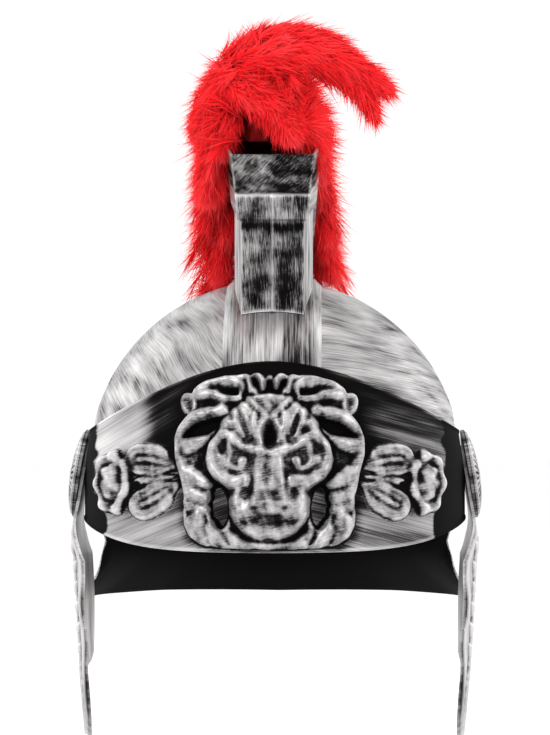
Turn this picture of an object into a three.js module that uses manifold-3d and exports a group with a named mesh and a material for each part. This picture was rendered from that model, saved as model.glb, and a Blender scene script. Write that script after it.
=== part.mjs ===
import * as THREE from "three";
import { mergeVertices } from "three/addons/utils/BufferGeometryUtils.js";
import Module from "manifold-3d";

const wasm = await Module();
wasm.setup();

// Legionary helmet of moulded plastic with a feather plume
// Millimetres, +Z up, the front faces -Y, and the origin is on the inside of the crown

// Shell
const shellWall = 2;
const domeHalfWidth = 102;
const domeHalfLength = 122;
const domeRise = 102;
const widestLevel = shellWall - domeRise;
const napeDrop = 48;
const neckDrop = 79;
const neckFlare = 28;
const ventRadius = 2.35;
const ventAboveRim = 6;
const bandHalfWidth = 25.6;
const bandSlope = 4;
const bandRise = 3;
const bandTailDrop = 36;

// Rivets that carry the cheek guards, and the layers on them
const clearance = 0.3;
const plateWall = 1.6;
const guardWall = 1.6;
const pivotDrop = 5;
const rivetTilt = 9;
const seatInset = 0.5;
const seatHalfWidth = domeHalfWidth - seatInset;
const seatRadius = 30;
const seatBlend = 8;
const pegRadius = 2.5;
const pegHeadRadius = 5;
const pegHeadHeight = 1.5;
const pegHeadGap = 0.9;
const bossRadius = 24.3;
const bossHeight = 6.6;
const bossEdge = 1.6;

// Brow plate
const plateTopLevel = -44;
const plateRise = 38;
const plateBottomLevel = -139;
const plateBottomRise = 11;
const plateTabRadius = 23;
const plateGap = 0.5;
const plateStart = 28;
const plateEnd = 70;
const maskHalfWidth = 46.5;
const maskHalfHeight = 44.5;
const maskLevel = -93.5;
const maskLift = 5;
const reliefMargin = 4;

// Crest box
const crestFront = -77;
const crestLength = 185;
const crestHeight = 82;
const crestWall = 2;
const crestHalfWidth = 20.5;
const crestStep = 2;
const troughHalfWidth = 26.5;
const headHeight = 35;
const troughDepth = 14;
const crestClearance = 0.4;
const crestStations = 20;

// Plume
const plumeReach = 47;
const plumeHeight = 82;
const plumeDroop = 28;
const plumeStations = 7;
const lockWidth = 11;
const lockThickness = 4;
const curlReach = 67;
const curlRadius = 15;
const curlAlong = 0.12;

// Cheek guards
const guardLength = 156;
const guardHalfWidth = 37;
const guardBow = 5.5;
const guardTabTop = 16;
const guardLean = 6.4;

const radians = THREE.MathUtils.degToRad;
const smoothstep = THREE.MathUtils.smoothstep;
const lerp = THREE.MathUtils.lerp;
const pivotLevel = widestLevel - pivotDrop;
const point = (x, y, z) => new THREE.Vector3(x, y, z);

// Value of one column at a place in a table, on straight lines between its rows
function valueAt(table, key, place, column) {
  let row = 0;
  while (row < table.length - 2 && table[row + 1][key] < place) row++;
  const [before, after] = [table[row], table[row + 1]];
  const share = (place - before[key]) / (after[key] - before[key]);
  return lerp(before[column], after[column], THREE.MathUtils.clamp(share, 0, 1));
}

// Turns in degrees from 0 through zones, each cut evenly into its columns
function zoneTurns(zones) {
  const turns = [0];
  for (const zone of zones) {
    const from = turns.at(-1);
    for (let i = 1; i <= zone.columns; i++) turns.push(from + ((zone.to - from) * i) / zone.columns);
  }
  return turns;
}

// Closed solid through rings of equal count, with a fan to a point at each end
function loft(rings, startPoint, endPoint) {
  const count = rings[0].length;
  const points = [startPoint, ...rings.flat(), endPoint];
  const last = points.length - 1;
  const at = (ring, i) => 1 + ring * count + (i % count);
  const triangles = [];
  for (let i = 0; i < count; i++) {
    triangles.push(0, at(0, i + 1), at(0, i));
    triangles.push(last, at(rings.length - 1, i), at(rings.length - 1, i + 1));
    for (let ring = 0; ring < rings.length - 1; ring++) {
      triangles.push(at(ring, i), at(ring, i + 1), at(ring + 1, i + 1));
      triangles.push(at(ring, i), at(ring + 1, i + 1), at(ring + 1, i));
    }
  }
  return closedGeometry(points, triangles);
}

// Geometry with its faces turned outwards, whichever way its triangles were listed
function closedGeometry(points, triangles) {
  let volume = 0;
  for (let i = 0; i < triangles.length; i += 3) {
    const [a, b, c] = [points[triangles[i]], points[triangles[i + 1]], points[triangles[i + 2]]];
    volume += a.dot(b.clone().cross(c));
  }
  const faces = volume > 0 ? triangles : triangles.toReversed();
  return new THREE.BufferGeometry().setFromPoints(points).setIndex(faces);
}

// Boolean solid of a geometry, and the geometry of a boolean solid
function solidOf(geometry) {
  const bare = geometry.clone();
  bare.deleteAttribute("normal");
  bare.deleteAttribute("uv");
  const merged = mergeVertices(bare, 1e-4);
  return new wasm.Manifold(
    new wasm.Mesh({
      numProp: 3,
      vertProperties: new Float32Array(merged.attributes.position.array),
      triVerts: new Uint32Array(merged.index.array),
    }),
  );
}

function geometryOf(solid) {
  const mesh = solid.getMesh();
  const geometry = new THREE.BufferGeometry();
  geometry.setAttribute("position", new THREE.BufferAttribute(mesh.vertProperties, 3));
  return geometry.setIndex(new THREE.BufferAttribute(mesh.triVerts, 1));
}

// Dome: an ellipsoid grown by a distance, met at a level and a turn from the front
function domeSection(turn, level, out) {
  const height = Math.max(0, level - widestLevel);
  const round = Math.sqrt(Math.max(0, 1 - (height / (domeRise + out)) ** 2));
  return point(
    (domeHalfWidth + out) * round * Math.sin(turn),
    -(domeHalfLength + out) * round * Math.cos(turn),
    level,
  );
}

// Level of the grown dome over a place in plan
function domeLevel(x, y, out) {
  const inside = 1 - (x / (domeHalfWidth + out)) ** 2 - (y / (domeHalfLength + out)) ** 2;
  return widestLevel + (domeRise + out) * Math.sqrt(Math.max(0, inside));
}

// Half-width of the tilted plane on which a rivet's layers lie
const seatPlane = (level, out) =>
  seatHalfWidth + out / Math.cos(radians(rivetTilt)) - (level - pivotLevel) * Math.tan(radians(rivetTilt));

// Rim of the shell: drop below the widest level as a share of neckDrop, and flare as shares of neckFlare
const rimTable = [
  { turn: 0, drop: 0.25, sideways: 0, back: 0 },
  { turn: 60, drop: 0.31, sideways: 0, back: 0 },
  { turn: 90, drop: 0.38, sideways: 0, back: 0 },
  { turn: 102, drop: 0.39, sideways: 0, back: 0 },
  { turn: 108, drop: 0.52, sideways: 0.02, back: 0 },
  { turn: 114, drop: 0.79, sideways: 0.28, back: 0.02 },
  { turn: 120, drop: 0.97, sideways: 0.88, back: 0 },
  { turn: 132, drop: 0.975, sideways: 1, back: 0.5 },
  { turn: 150, drop: 0.98, sideways: 0.68, back: 0.96 },
  { turn: 180, drop: 1, sideways: 0, back: 1 },
];

// Skirt of the shell below its widest level, at a share of the way down to the rim
function skirtPoint(turn, share) {
  const away = Math.abs(((THREE.MathUtils.radToDeg(turn) + 180) % 360) - 180);
  const side = Math.sign(Math.sin(turn));
  const rimDrop = neckDrop * valueAt(rimTable, "turn", away, "drop");
  const drop = rimDrop * share;
  const flare = neckFlare * (Math.max(0, drop - napeDrop) / Math.max(1, rimDrop - napeDrop)) ** 1.4;
  const base = domeSection(turn, widestLevel, 0);
  return point(
    base.x + side * flare * valueAt(rimTable, "turn", away, "sideways"),
    base.y + flare * valueAt(rimTable, "turn", away, "back"),
    widestLevel - drop,
  );
}

// A point of the shell pressed in to the flat seat behind a rivet
function pressSeat(p) {
  const reach = Math.hypot(p.y, p.z - pivotLevel);
  const limit = seatPlane(p.z, 0);
  const excess = Math.max(0, Math.abs(p.x) - limit);
  const press = excess * (1 - smoothstep(reach, seatRadius, seatRadius + seatBlend));
  return point(p.x - Math.sign(p.x) * press, p.y, p.z);
}

// Rings moved inwards along the surface by a wall thickness
function insideRings(rings, pole, wall) {
  const count = rings[0].length;
  return rings.map((ring, j) =>
    ring.map((p, i) => {
      const across = ring[(i + 1) % count].clone().sub(ring[(i + count - 1) % count]);
      const above = j > 0 ? rings[j - 1][i] : pole;
      const below = j < rings.length - 1 ? rings[j + 1][i] : p;
      const normal = across.cross(above.clone().sub(below)).normalize();
      return p.clone().addScaledVector(normal, -wall);
    }),
  );
}

// Round bar along a rivet's axis, used to drill its layers
function drill(side, radius) {
  const bar = new THREE.CylinderGeometry(radius, radius, 40, 16);
  bar.rotateX(Math.PI / 2);
  bar.rotateY(side * radians(90 - rivetTilt));
  bar.translate(side * seatHalfWidth, 0, pivotLevel);
  return solidOf(bar);
}

// Raised band over the crown, a strip on the dome from front to nape
function makeBand() {
  const stations = 26;
  const tail = 3;
  const topHalf = bandHalfWidth - bandSlope;
  const root = -shellWall / 2;
  const across = [
    { x: -bandHalfWidth, out: root },
    { x: -bandHalfWidth, out: 0.05 },
    { x: -topHalf, out: bandRise },
    { x: 0, out: bandRise },
    { x: topHalf, out: bandRise },
    { x: bandHalfWidth, out: 0.05 },
    { x: bandHalfWidth, out: root },
    { x: 0, out: root },
  ];
  const rings = [];
  for (let i = 0; i <= stations + tail; i++) {
    const angle = radians((180 * Math.min(i, stations)) / stations);
    const drop = (bandTailDrop * Math.max(0, i - stations)) / tail;
    const fade = i === stations + tail ? 0.02 : 1;
    rings.push(
      across.map(({ x, out }) => {
        const rise = out > 0 ? out * fade : out;
        const round = Math.sqrt(1 - (x / (domeHalfWidth + rise)) ** 2);
        return point(
          x,
          -(domeHalfLength + rise) * round * Math.cos(angle),
          widestLevel + (domeRise + rise) * round * Math.sin(angle) - drop,
        );
      }),
    );
  }
  const middle = (ring) => ring[3].clone().add(ring[7]).multiplyScalar(0.5);
  return solidOf(loft(rings, middle(rings[0]), middle(rings.at(-1))));
}

// Columns of the shell, as turns from its front: close where the ear cut-out runs into the neck guard
const shellZones = [
  { to: 98, columns: 13 },
  { to: 134, columns: 7 },
  { to: 180, columns: 4 },
];

// Shell: dome, skirt, ear cut-outs and neck guard in one wall
function makeShell() {
  const half = zoneTurns(shellZones);
  const turns = [...half, ...half.slice(1, -1).reverse().map((turn) => 360 - turn)].map(radians);
  const domeRows = 7;
  const skirtRows = 5;
  const outer = [];
  for (let row = 1; row <= domeRows + skirtRows; row++) {
    const ring = [];
    for (const turn of turns) {
      const level = widestLevel + domeRise * Math.cos((Math.PI / 2) * Math.min(1, row / domeRows));
      const p =
        row <= domeRows ? domeSection(turn, level, 0) : skirtPoint(turn, (row - domeRows) / skirtRows);
      ring.push(pressSeat(p));
    }
    outer.push(ring);
  }
  const pole = point(0, 0, shellWall);
  const inner = insideRings(outer, pole, shellWall);
  const wall = solidOf(loft([...outer, ...inner.toReversed()], pole, point(0, 0, 0)));
  const vent = new THREE.CylinderGeometry(ventRadius, ventRadius, 3 * neckFlare, 12);
  vent.translate(0, domeHalfLength + neckFlare, widestLevel - neckDrop + ventAboveRim);
  let solid = wall.add(makeBand()).subtract(solidOf(vent));
  for (const side of [-1, 1]) solid = solid.subtract(drill(side, pegRadius + clearance));
  return geometryOf(solid);
}

// Relief of the brow plate: raised and sunken ovals, in shares of the mask's half-width and half-height
// Lift is a share of maskLift, a paired row stands on both sides, and all relief ends short of the bosses
const reliefTable = [
  { name: "mane", across: 0, up: 0, wide: 1, high: 1, lift: 1, paired: false },
  { name: "face", across: 0, up: -0.11, wide: 0.57, high: 0.84, lift: 0.8, paired: false },
  { name: "muzzle", across: 0, up: -0.5, wide: 0.42, high: 0.4, lift: 0.7, paired: false },
  { name: "nose bridge", across: 0, up: -0.05, wide: 0.13, high: 0.42, lift: 0.5, paired: false },
  { name: "nose", across: 0, up: -0.57, wide: 0.2, high: 0.13, lift: 0.5, paired: false },
  { name: "frown", across: 0, up: 0.35, wide: 0.07, high: 0.14, lift: -0.5, paired: false },
  { name: "mouth", across: 0, up: -0.68, wide: 0.2, high: 0.06, lift: -0.4, paired: false },
  { name: "brow", across: 0.4, up: 0.36, wide: 0.2, high: 0.2, lift: 0.6, paired: true },
  { name: "eye socket", across: 0.3, up: 0.08, wide: 0.15, high: 0.11, lift: -0.5, paired: true },
  { name: "eye", across: 0.28, up: 0.02, wide: 0.08, high: 0.08, lift: 0.5, paired: true },
  { name: "ear", across: 0.88, up: 0.64, wide: 0.11, high: 0.15, lift: 0.8, paired: true },
  { name: "upper tuft", across: 0.5, up: 0.76, wide: 0.26, high: 0.13, lift: 0.5, paired: true },
  { name: "crown tuft", across: 0, up: 0.88, wide: 0.1, high: 0.1, lift: 0.5, paired: false },
  { name: "mane hollow", across: 0.74, up: 0.38, wide: 0.2, high: 0.1, lift: -0.4, paired: true },
  { name: "cheek hollow", across: 0.54, up: -0.52, wide: 0.1, high: 0.24, lift: -0.5, paired: true },
  { name: "side lock", across: 0.8, up: -0.35, wide: 0.14, high: 0.14, lift: 0.4, paired: true },
  { name: "lower lock", across: 0.74, up: -0.78, wide: 0.15, high: 0.2, lift: 0.5, paired: true },
  { name: "upper petal", across: 1.36, up: 0.01, wide: 0.27, high: 0.19, lift: 0.8, paired: true },
  { name: "lower petal", across: 1.38, up: -0.42, wide: 0.27, high: 0.21, lift: 0.8, paired: true },
  { name: "rosette", across: 1.76, up: -0.23, wide: 0.23, high: 0.36, lift: 0.9, paired: true },
];

function reliefAt(x, y, z) {
  const u = x / maskHalfWidth;
  const v = (z - maskLevel) / maskHalfHeight;
  const clear = smoothstep(Math.hypot(y, z - pivotLevel), bossRadius, bossRadius + reliefMargin);
  let lift = 0;
  for (const oval of reliefTable) {
    const place = oval.paired ? Math.abs(u) : u;
    const distance = ((place - oval.across) / oval.wide) ** 2 + ((v - oval.up) / oval.high) ** 2;
    lift += oval.lift * Math.sqrt(Math.max(0, 1 - distance));
  }
  return Math.max(0, lift) * maskLift * clear;
}

// Columns of the brow plate, as turns from its middle: close on the mask, wider on the palmettes and tabs
const plateZones = [
  { to: 27, columns: 14 },
  { to: 70, columns: 12 },
  { to: 99, columns: 5 },
];

function plateTurns() {
  const half = zoneTurns(plateZones);
  return [...half.slice(1).reverse().map((turn) => -turn), ...half].map(radians);
}

// Upper and lower edge of the brow plate at a turn, round about the rivet at the ends
function plateEdges(turn) {
  const swing = Math.abs(Math.sin(turn));
  const behind = Math.max(0, -domeHalfLength * Math.cos(turn));
  const round = Math.sqrt(Math.max(0.04, 1 - (behind / plateTabRadius) ** 2));
  const top = plateTopLevel - plateRise * swing ** 1.9;
  const bottom = plateBottomLevel + plateBottomRise * swing ** 5;
  return behind > 0
    ? { top: pivotLevel + plateTabRadius * round, bottom: pivotLevel - plateTabRadius * round }
    : { top, bottom };
}

// Point of the brow plate's back at a turn and a level, off the dome and flat on the rivet's seat
function plateBack(turn, level) {
  const lateral = Math.abs(domeHalfWidth * Math.sin(turn));
  const out = plateGap + bandRise * (1 - smoothstep(lateral, plateStart, plateEnd));
  const onDome = domeSection(turn, level, out);
  const x = Math.min(Math.abs(onDome.x), seatPlane(level, clearance));
  return point(Math.sign(turn) * x, onDome.y, level);
}

// Direction square to the plate, up the dome's slope and level below its widest part
function plateNormal(turn, level) {
  const p = domeSection(turn, level, 0);
  const slope = Math.max(0, level - widestLevel) / domeRise ** 2;
  return point(p.x / domeHalfWidth ** 2, p.y / domeHalfLength ** 2, slope).normalize();
}

// Triangles between two lists of vertices that run side by side
function zip(upper, lower) {
  const triangles = [];
  let [i, j] = [0, 0];
  while (i < upper.length - 1 || j < lower.length - 1) {
    const ahead = (i + 1) / (upper.length - 1) <= (j + 1) / (lower.length - 1);
    if (j === lower.length - 1 || (ahead && i < upper.length - 1)) {
      triangles.push(upper[i], upper[i + 1], lower[j]);
      i++;
    } else {
      triangles.push(upper[i], lower[j + 1], lower[j]);
      j++;
    }
  }
  return triangles;
}

// Brow plate: a fine front face with the relief, a plain back, and a sewn edge
function makeBrowPlate() {
  const turns = plateTurns();
  const frontRows = 15;
  const backRows = 7;
  const points = [];
  const face = (rows, place) => {
    const grid = turns.map((turn) => {
      const { top, bottom } = plateEdges(turn);
      return Array.from({ length: rows + 1 }, (_, row) => {
        points.push(place(turn, lerp(bottom, top, row / rows)));
        return points.length - 1;
      });
    });
    return grid;
  };
  const front = face(frontRows, (turn, level) => {
    const back = plateBack(turn, level);
    const lift = plateWall + reliefAt(back.x, back.y, level);
    return back.addScaledVector(plateNormal(turn, level), lift);
  });
  const back = face(backRows, plateBack);
  const triangles = [];
  const fill = (grid, flip) => {
    for (let i = 0; i < grid.length - 1; i++) {
      for (let j = 0; j < grid[i].length - 1; j++) {
        const [a, b, c, d] = [grid[i][j], grid[i + 1][j], grid[i + 1][j + 1], grid[i][j + 1]];
        triangles.push(...(flip ? [a, c, b, a, d, c] : [a, b, c, a, c, d]));
      }
    }
  };
  fill(front, false);
  fill(back, true);
  const edge = (grid, row) => grid.map((column) => column.at(row));
  triangles.push(...zip(edge(back, 0), edge(front, 0)));
  triangles.push(...zip(edge(front, -1), edge(back, -1)));
  triangles.push(...zip(front[0], back[0]));
  triangles.push(...zip(back.at(-1), front.at(-1)));
  let solid = solidOf(closedGeometry(points, triangles));
  for (const side of [-1, 1]) solid = solid.subtract(drill(side, pegRadius + clearance));
  return geometryOf(solid);
}

// Crest box along its length: top above the front foot as a share of crestHeight, widths and height of
// the head as shares of theirs, and the plume's height over it as a share of plumeHeight
const crestTable = [
  { along: 0, top: 1, web: 0.8, trough: 0.84, head: 1, plume: 1 },
  { along: 0.16, top: 1.12, web: 1, trough: 1, head: 1, plume: 0.88 },
  { along: 0.36, top: 1.16, web: 1, trough: 1, head: 1, plume: 0.8 },
  { along: 0.58, top: 1.05, web: 0.97, trough: 0.97, head: 0.94, plume: 0.68 },
  { along: 0.77, top: 0.79, web: 0.9, trough: 0.88, head: 0.86, plume: 0.61 },
  { along: 0.92, top: 0.4, web: 0.76, trough: 0.74, head: 0.76, plume: 0.58 },
  { along: 1, top: 0.08, web: 0.62, trough: 0.6, head: 0.7, plume: 0.56 },
];

const crestFoot = (x, y) => domeLevel(x, y, bandRise + crestClearance);
const footLevel = crestFoot(0, crestFront);
const topCurve = new THREE.CatmullRomCurve3(
  crestTable.map((row) =>
    point(0, crestFront + crestLength * row.along, footLevel + crestHeight * row.top),
  ),
);

// Sizes of the crest box at a share of its length
function crestAt(along) {
  const top = topCurve.getPoint(along);
  const share = (top.y - crestFront) / crestLength;
  const value = (column) => valueAt(crestTable, "along", share, column);
  return {
    y: top.y,
    top: top.z,
    web: crestHalfWidth * value("web"),
    trough: troughHalfWidth * value("trough"),
    step: top.z - headHeight * value("head"),
    floor: top.z - troughDepth,
    plume: plumeHeight * value("plume"),
  };
}

// Crest box: a hollow web with an open foot, under an open trough
function makeCrestBox() {
  const stations = crestStations;
  const outer = [];
  const hollow = [];
  const trough = [];
  for (let i = 0; i <= stations; i++) {
    const at = crestAt(i / stations);
    const foot = [-1, -0.5, 0, 0.5, 1].map((s) => point(s * at.web, at.y, crestFoot(s * at.web, at.y)));
    const shoulder = at.web + crestStep;
    outer.push([
      ...foot,
      point(at.web, at.y, at.step),
      point(shoulder, at.y, at.step),
      point(at.trough, at.y, at.top),
      point(-at.trough, at.y, at.top),
      point(-shoulder, at.y, at.step),
      point(-at.web, at.y, at.step),
    ]);
    const inner = at.web - crestWall;
    hollow.push([
      point(-inner, at.y, crestFoot(inner, at.y) - 3 * crestWall),
      point(inner, at.y, crestFoot(inner, at.y) - 3 * crestWall),
      point(inner, at.y, at.floor - crestWall),
      point(-inner, at.y, at.floor - crestWall),
    ]);
    const base = lerp(at.trough, shoulder, troughDepth / (at.top - at.step)) - crestWall;
    trough.push([
      point(-base, at.y, at.floor),
      point(base, at.y, at.floor),
      point(at.trough - crestWall, at.y, at.top + 1),
      point(crestWall - at.trough, at.y, at.top + 1),
    ]);
  }
  const middle = (ring) => ring.reduce((sum, p) => sum.add(p), point(0, 0, 0)).divideScalar(ring.length);
  const body = (rings) => solidOf(loft(rings, middle(rings[0]), middle(rings.at(-1))));
  const inset = (rings) => {
    const ends = [rings[0], rings.at(-1)].map((ring, end) =>
      ring.map((p) => point(p.x, p.y + (end === 0 ? crestWall : -crestWall), p.z)),
    );
    return [ends[0], ...rings.slice(1, -1), ends[1]];
  };
  return geometryOf(body(outer).subtract(body(inset(hollow))).subtract(body(inset(trough))));
}

// Outline of the plume across the crest, from the hem that hangs beside the trough to the top:
// shares of plumeReach out, of the plume's height up and of plumeDroop down
const plumeTable = [
  { out: 0.74, up: 0, down: 1 },
  { out: 0.86, up: 0, down: 0.7 },
  { out: 0.92, up: 0.12, down: 0 },
  { out: 0.86, up: 0.42, down: 0 },
  { out: 0.66, up: 0.7, down: 0 },
  { out: 0.34, up: 0.87, down: 0 },
];

// Body of the plume: its backing lies in the trough and its feathers hang over both walls
function plumeBody() {
  const rings = [];
  const last = crestStations - 1;
  for (let i = 1; i <= last; i++) {
    const at = crestAt(i / crestStations);
    const full = Math.sin((Math.PI * i) / crestStations) ** 0.35;
    const hang = Math.sin((Math.PI * (i - 1)) / (last - 1)) ** 0.35;
    const neck = (at.trough - crestWall) * 0.5;
    const lip = at.trough + 3 * clearance;
    const over = at.top + 4 * clearance;
    const half = [
      point(neck, at.y, at.floor + 2 * clearance),
      point(neck, at.y, over),
      point(lip, at.y, over),
      point(lip, at.y, lerp(over + clearance, at.top - plumeDroop * 0.8, hang)),
    ];
    plumeTable.forEach(({ out, up, down }, row) => {
      const rise = Math.max(at.plume * up * full, over - at.top + (2 + row) * clearance);
      const wide = up < 0.5 ? Math.max(plumeReach * out * full, lip + 1 + row) : plumeReach * out * full;
      half.push(point(wide, at.y, at.top + (down ? lerp(rise, -plumeDroop * down, hang) : rise)));
    });
    rings.push([...half, ...half.toReversed().map((p) => point(-p.x, p.y, p.z))]);
  }
  const middle = (ring) => ring[1].clone().add(ring.at(-2)).multiplyScalar(0.5).add(point(0, 0, 1));
  return solidOf(loft(rings, middle(rings[0]), middle(rings.at(-1))));
}

// Locks round the body, by their lean from upright, and how far the tips sweep along the crest
const fanTable = [
  { lean: 8, reach: 1, sweep: 0.6 },
  { lean: 40, reach: 0.98, sweep: -0.8 },
  { lean: 72, reach: 0.98, sweep: 0.7 },
  { lean: 104, reach: 1.02, sweep: -0.5 },
];

// One lock: a flat strip of three sides along a curve, drawn out to a point
function plumeLock(start, control, tip, width) {
  const curve = new THREE.QuadraticBezierCurve3(start, control, tip);
  const rings = [0, 0.55].map((share) => {
    const p = curve.getPoint(share);
    const forward = curve.getTangent(share);
    const side = point(0, 1, 0).addScaledVector(forward, -forward.y).normalize();
    const out = forward.clone().cross(side).multiplyScalar(lockThickness);
    const half = width * (1 - 0.4 * share);
    return [
      p.clone().addScaledVector(side, half),
      p.clone().add(out),
      p.clone().addScaledVector(side, -half).addScaledVector(out, -0.4),
    ];
  });
  return solidOf(loft(rings, start, tip));
}

// The curl that falls over to one side at the front: places along it in shares of curlReach and of the
// plume's height over the trough, and its thickness as a share of curlRadius
const curlTable = [
  { aside: 0, up: 0.45, thick: 1 },
  { aside: 0.2, up: 0.72, thick: 1.15 },
  { aside: 0.52, up: 0.82, thick: 1.1 },
  { aside: 0.8, up: 0.66, thick: 0.85 },
  { aside: 0.92, up: 0.46, thick: 0.4 },
];

function plumeCurl() {
  const at = crestAt(curlAlong);
  const place = (row) => point(curlReach * row.aside, at.y, at.top + at.plume * row.up);
  const rings = curlTable.map((row, i) => {
    const before = place(curlTable[Math.max(0, i - 1)]);
    const after = place(curlTable[Math.min(curlTable.length - 1, i + 1)]);
    const forward = after.sub(before).normalize();
    const across = point(-forward.z, 0, forward.x);
    return Array.from({ length: 8 }, (_, k) => {
      const angle = (Math.PI * k) / 4;
      return place(row)
        .addScaledVector(across, curlRadius * row.thick * Math.cos(angle))
        .add(point(0, curlRadius * 1.3 * row.thick * Math.sin(angle), 0));
    });
  });
  const tip = point(curlReach * 0.9, at.y, at.top + at.plume * 0.3);
  return solidOf(loft(rings, place(curlTable[0]), tip));
}

function makePlume() {
  let solid = plumeBody().add(plumeCurl());
  const last = plumeStations - 1;
  for (let i = 0; i <= last; i++) {
    const at = crestAt(lerp(0.07, 0.86, i / last));
    fanTable.forEach(({ lean, reach, sweep }, row) => {
      for (const side of [-1, 1]) {
        const angle = radians(lean + (i % 2 ? 5 : -5) * side) * side;
        const stretch = (1 + 0.05 * Math.sin(2.4 * i + row + side)) * reach;
        const hub = at.top + at.plume * 0.3;
        const far = point(
          plumeReach * 1.08 * stretch * Math.sin(angle),
          at.y + lockWidth * sweep * (i % 2 ? 1 : -1),
          hub + at.plume * 0.72 * stretch * Math.cos(angle) - plumeDroop * 0.25 * Math.sin(angle * side),
        );
        const start = point(far.x * 0.5, at.y, lerp(hub, far.z, 0.5));
        const control = point(far.x * 0.85, at.y, lerp(hub, far.z, 0.85) + lockThickness);
        solid = solid.add(plumeLock(start, control, far, lockWidth));
      }
    });
  }
  const front = crestAt(0.05);
  for (const aside of [-0.1, 0.12, 0.32]) {
    const start = point(plumeReach * aside, front.y, front.top + front.plume * 0.35);
    const control = point(plumeReach * aside, crestFront - 5, front.top + front.plume * 0.25);
    const tip = point(plumeReach * aside * 1.1, crestFront - 3, front.top + 2);
    solid = solid.add(plumeLock(start, control, tip, lockWidth * 0.8));
  }
  return geometryOf(solid);
}

// Cheek guard outline: level below the tab's top, and front and rear edges as shares of guardHalfWidth
const guardTable = [
  { down: 0, front: -0.1, rear: 0.1, stand: 0 },
  { down: 0.02, front: -0.28, rear: 0.28, stand: 0 },
  { down: 0.06, front: -0.4, rear: 0.4, stand: 0 },
  { down: 0.11, front: -0.45, rear: 0.45, stand: 0 },
  { down: 0.17, front: -0.48, rear: 0.48, stand: 0 },
  { down: 0.225, front: -0.56, rear: 0.56, stand: 0 },
  { down: 0.26, front: -0.72, rear: 0.7, stand: 0.12 },
  { down: 0.32, front: -0.95, rear: 0.86, stand: 0.6 },
  { down: 0.39, front: -1.05, rear: 0.94, stand: 1 },
  { down: 0.46, front: -1, rear: 0.95, stand: 1 },
  { down: 0.53, front: -0.86, rear: 0.94, stand: 1 },
  { down: 0.58, front: -0.84, rear: 0.91, stand: 1 },
  { down: 0.63, front: -0.98, rear: 0.87, stand: 1 },
  { down: 0.69, front: -0.97, rear: 0.8, stand: 1 },
  { down: 0.74, front: -0.86, rear: 0.7, stand: 1 },
  { down: 0.77, front: -0.82, rear: 0.5, stand: 1 },
  { down: 0.79, front: -0.81, rear: 0, stand: 1 },
  { down: 0.86, front: -0.84, rear: -0.18, stand: 1 },
  { down: 0.94, front: -0.82, rear: -0.36, stand: 1 },
  { down: 1, front: -0.72, rear: -0.58, stand: 1 },
];

// Half-width of the guard's inner face: flat on its tab, then bowed and leaning in towards the chin
function guardInside(y, level, down, stand) {
  const stack = 2 * clearance + plateWall;
  const flat = seatPlane(level, stack);
  const shoulder = seatPlane(pivotLevel - plateTabRadius - 2, stack);
  const lean = guardLean * Math.max(0, (down - 0.3) / 0.7) ** 1.3;
  const bow = guardBow * (y / guardHalfWidth) ** 2;
  return lerp(flat, shoulder - lean - bow, stand);
}

function makeCheekGuard(side) {
  const across = 6;
  const rings = guardTable.map(({ down, front, rear, stand }) => {
    const level = pivotLevel + guardTabTop - guardLength * down;
    const faces = [0, guardWall].map((out) =>
      Array.from({ length: across + 1 }, (_, i) => {
        const y = guardHalfWidth * lerp(front, rear, i / across);
        return point(side * (guardInside(y, level, down, stand) + out), y, level);
      }),
    );
    return [...faces[0], ...faces[1].reverse()];
  });
  const middle = (ring) => ring[3].clone().add(ring[10]).multiplyScalar(0.5);
  const plate = solidOf(loft(rings, middle(rings[0]), middle(rings.at(-1))));
  return geometryOf(plate.subtract(drill(side, pegRadius + clearance)));
}

// Boss: a low round button with the rivet's peg and its head inside the shell
function makeBoss(side) {
  const base = 3 * clearance + plateWall + guardWall;
  const head = base + shellWall + pegHeadGap;
  const profile = [
    [0, -head - pegHeadHeight],
    [pegHeadRadius, -head - pegHeadHeight],
    [pegHeadRadius, -head],
    [pegRadius, -head],
    [pegRadius, 0],
    [bossRadius, 0],
    [bossRadius, bossEdge],
    [bossRadius * 0.96, bossHeight * 0.45],
    [bossRadius * 0.8, bossHeight * 0.82],
    [bossRadius * 0.45, bossHeight * 0.97],
    [0, bossHeight],
  ].map(([radius, height]) => new THREE.Vector2(radius, height));
  const boss = new THREE.LatheGeometry(profile, 20);
  boss.rotateX(Math.PI / 2);
  boss.rotateY(side * radians(90 - rivetTilt));
  const tilt = radians(rivetTilt);
  boss.translate(side * (seatHalfWidth + base * Math.cos(tilt)), 0, pivotLevel + base * Math.sin(tilt));
  return geometryOf(solidOf(boss));
}

const helmet = new THREE.Group();

function addPiece(name, geometry, color, roughness, metalness) {
  const piece = new THREE.Mesh(geometry, new THREE.MeshStandardMaterial({ color, roughness, metalness }));
  piece.name = name;
  helmet.add(piece);
}

addPiece("shell", makeShell(), 0xa9a8a8, 0.42, 0.6);
addPiece("brow_plate", makeBrowPlate(), 0x6f6d6c, 0.42, 0.6);
addPiece("crest_box", makeCrestBox(), 0x5c5a5a, 0.45, 0.6);
addPiece("plume", makePlume(), 0xdc1418, 0.9, 0);
for (const [word, side] of [["left", -1], ["right", 1]]) {
  addPiece("cheek_guard_" + word, makeCheekGuard(side), 0xa9a8a8, 0.42, 0.6);
  addPiece("boss_" + word, makeBoss(side), 0x8d8b8a, 0.42, 0.6);
}

export default helmet;
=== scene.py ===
import math

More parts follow.
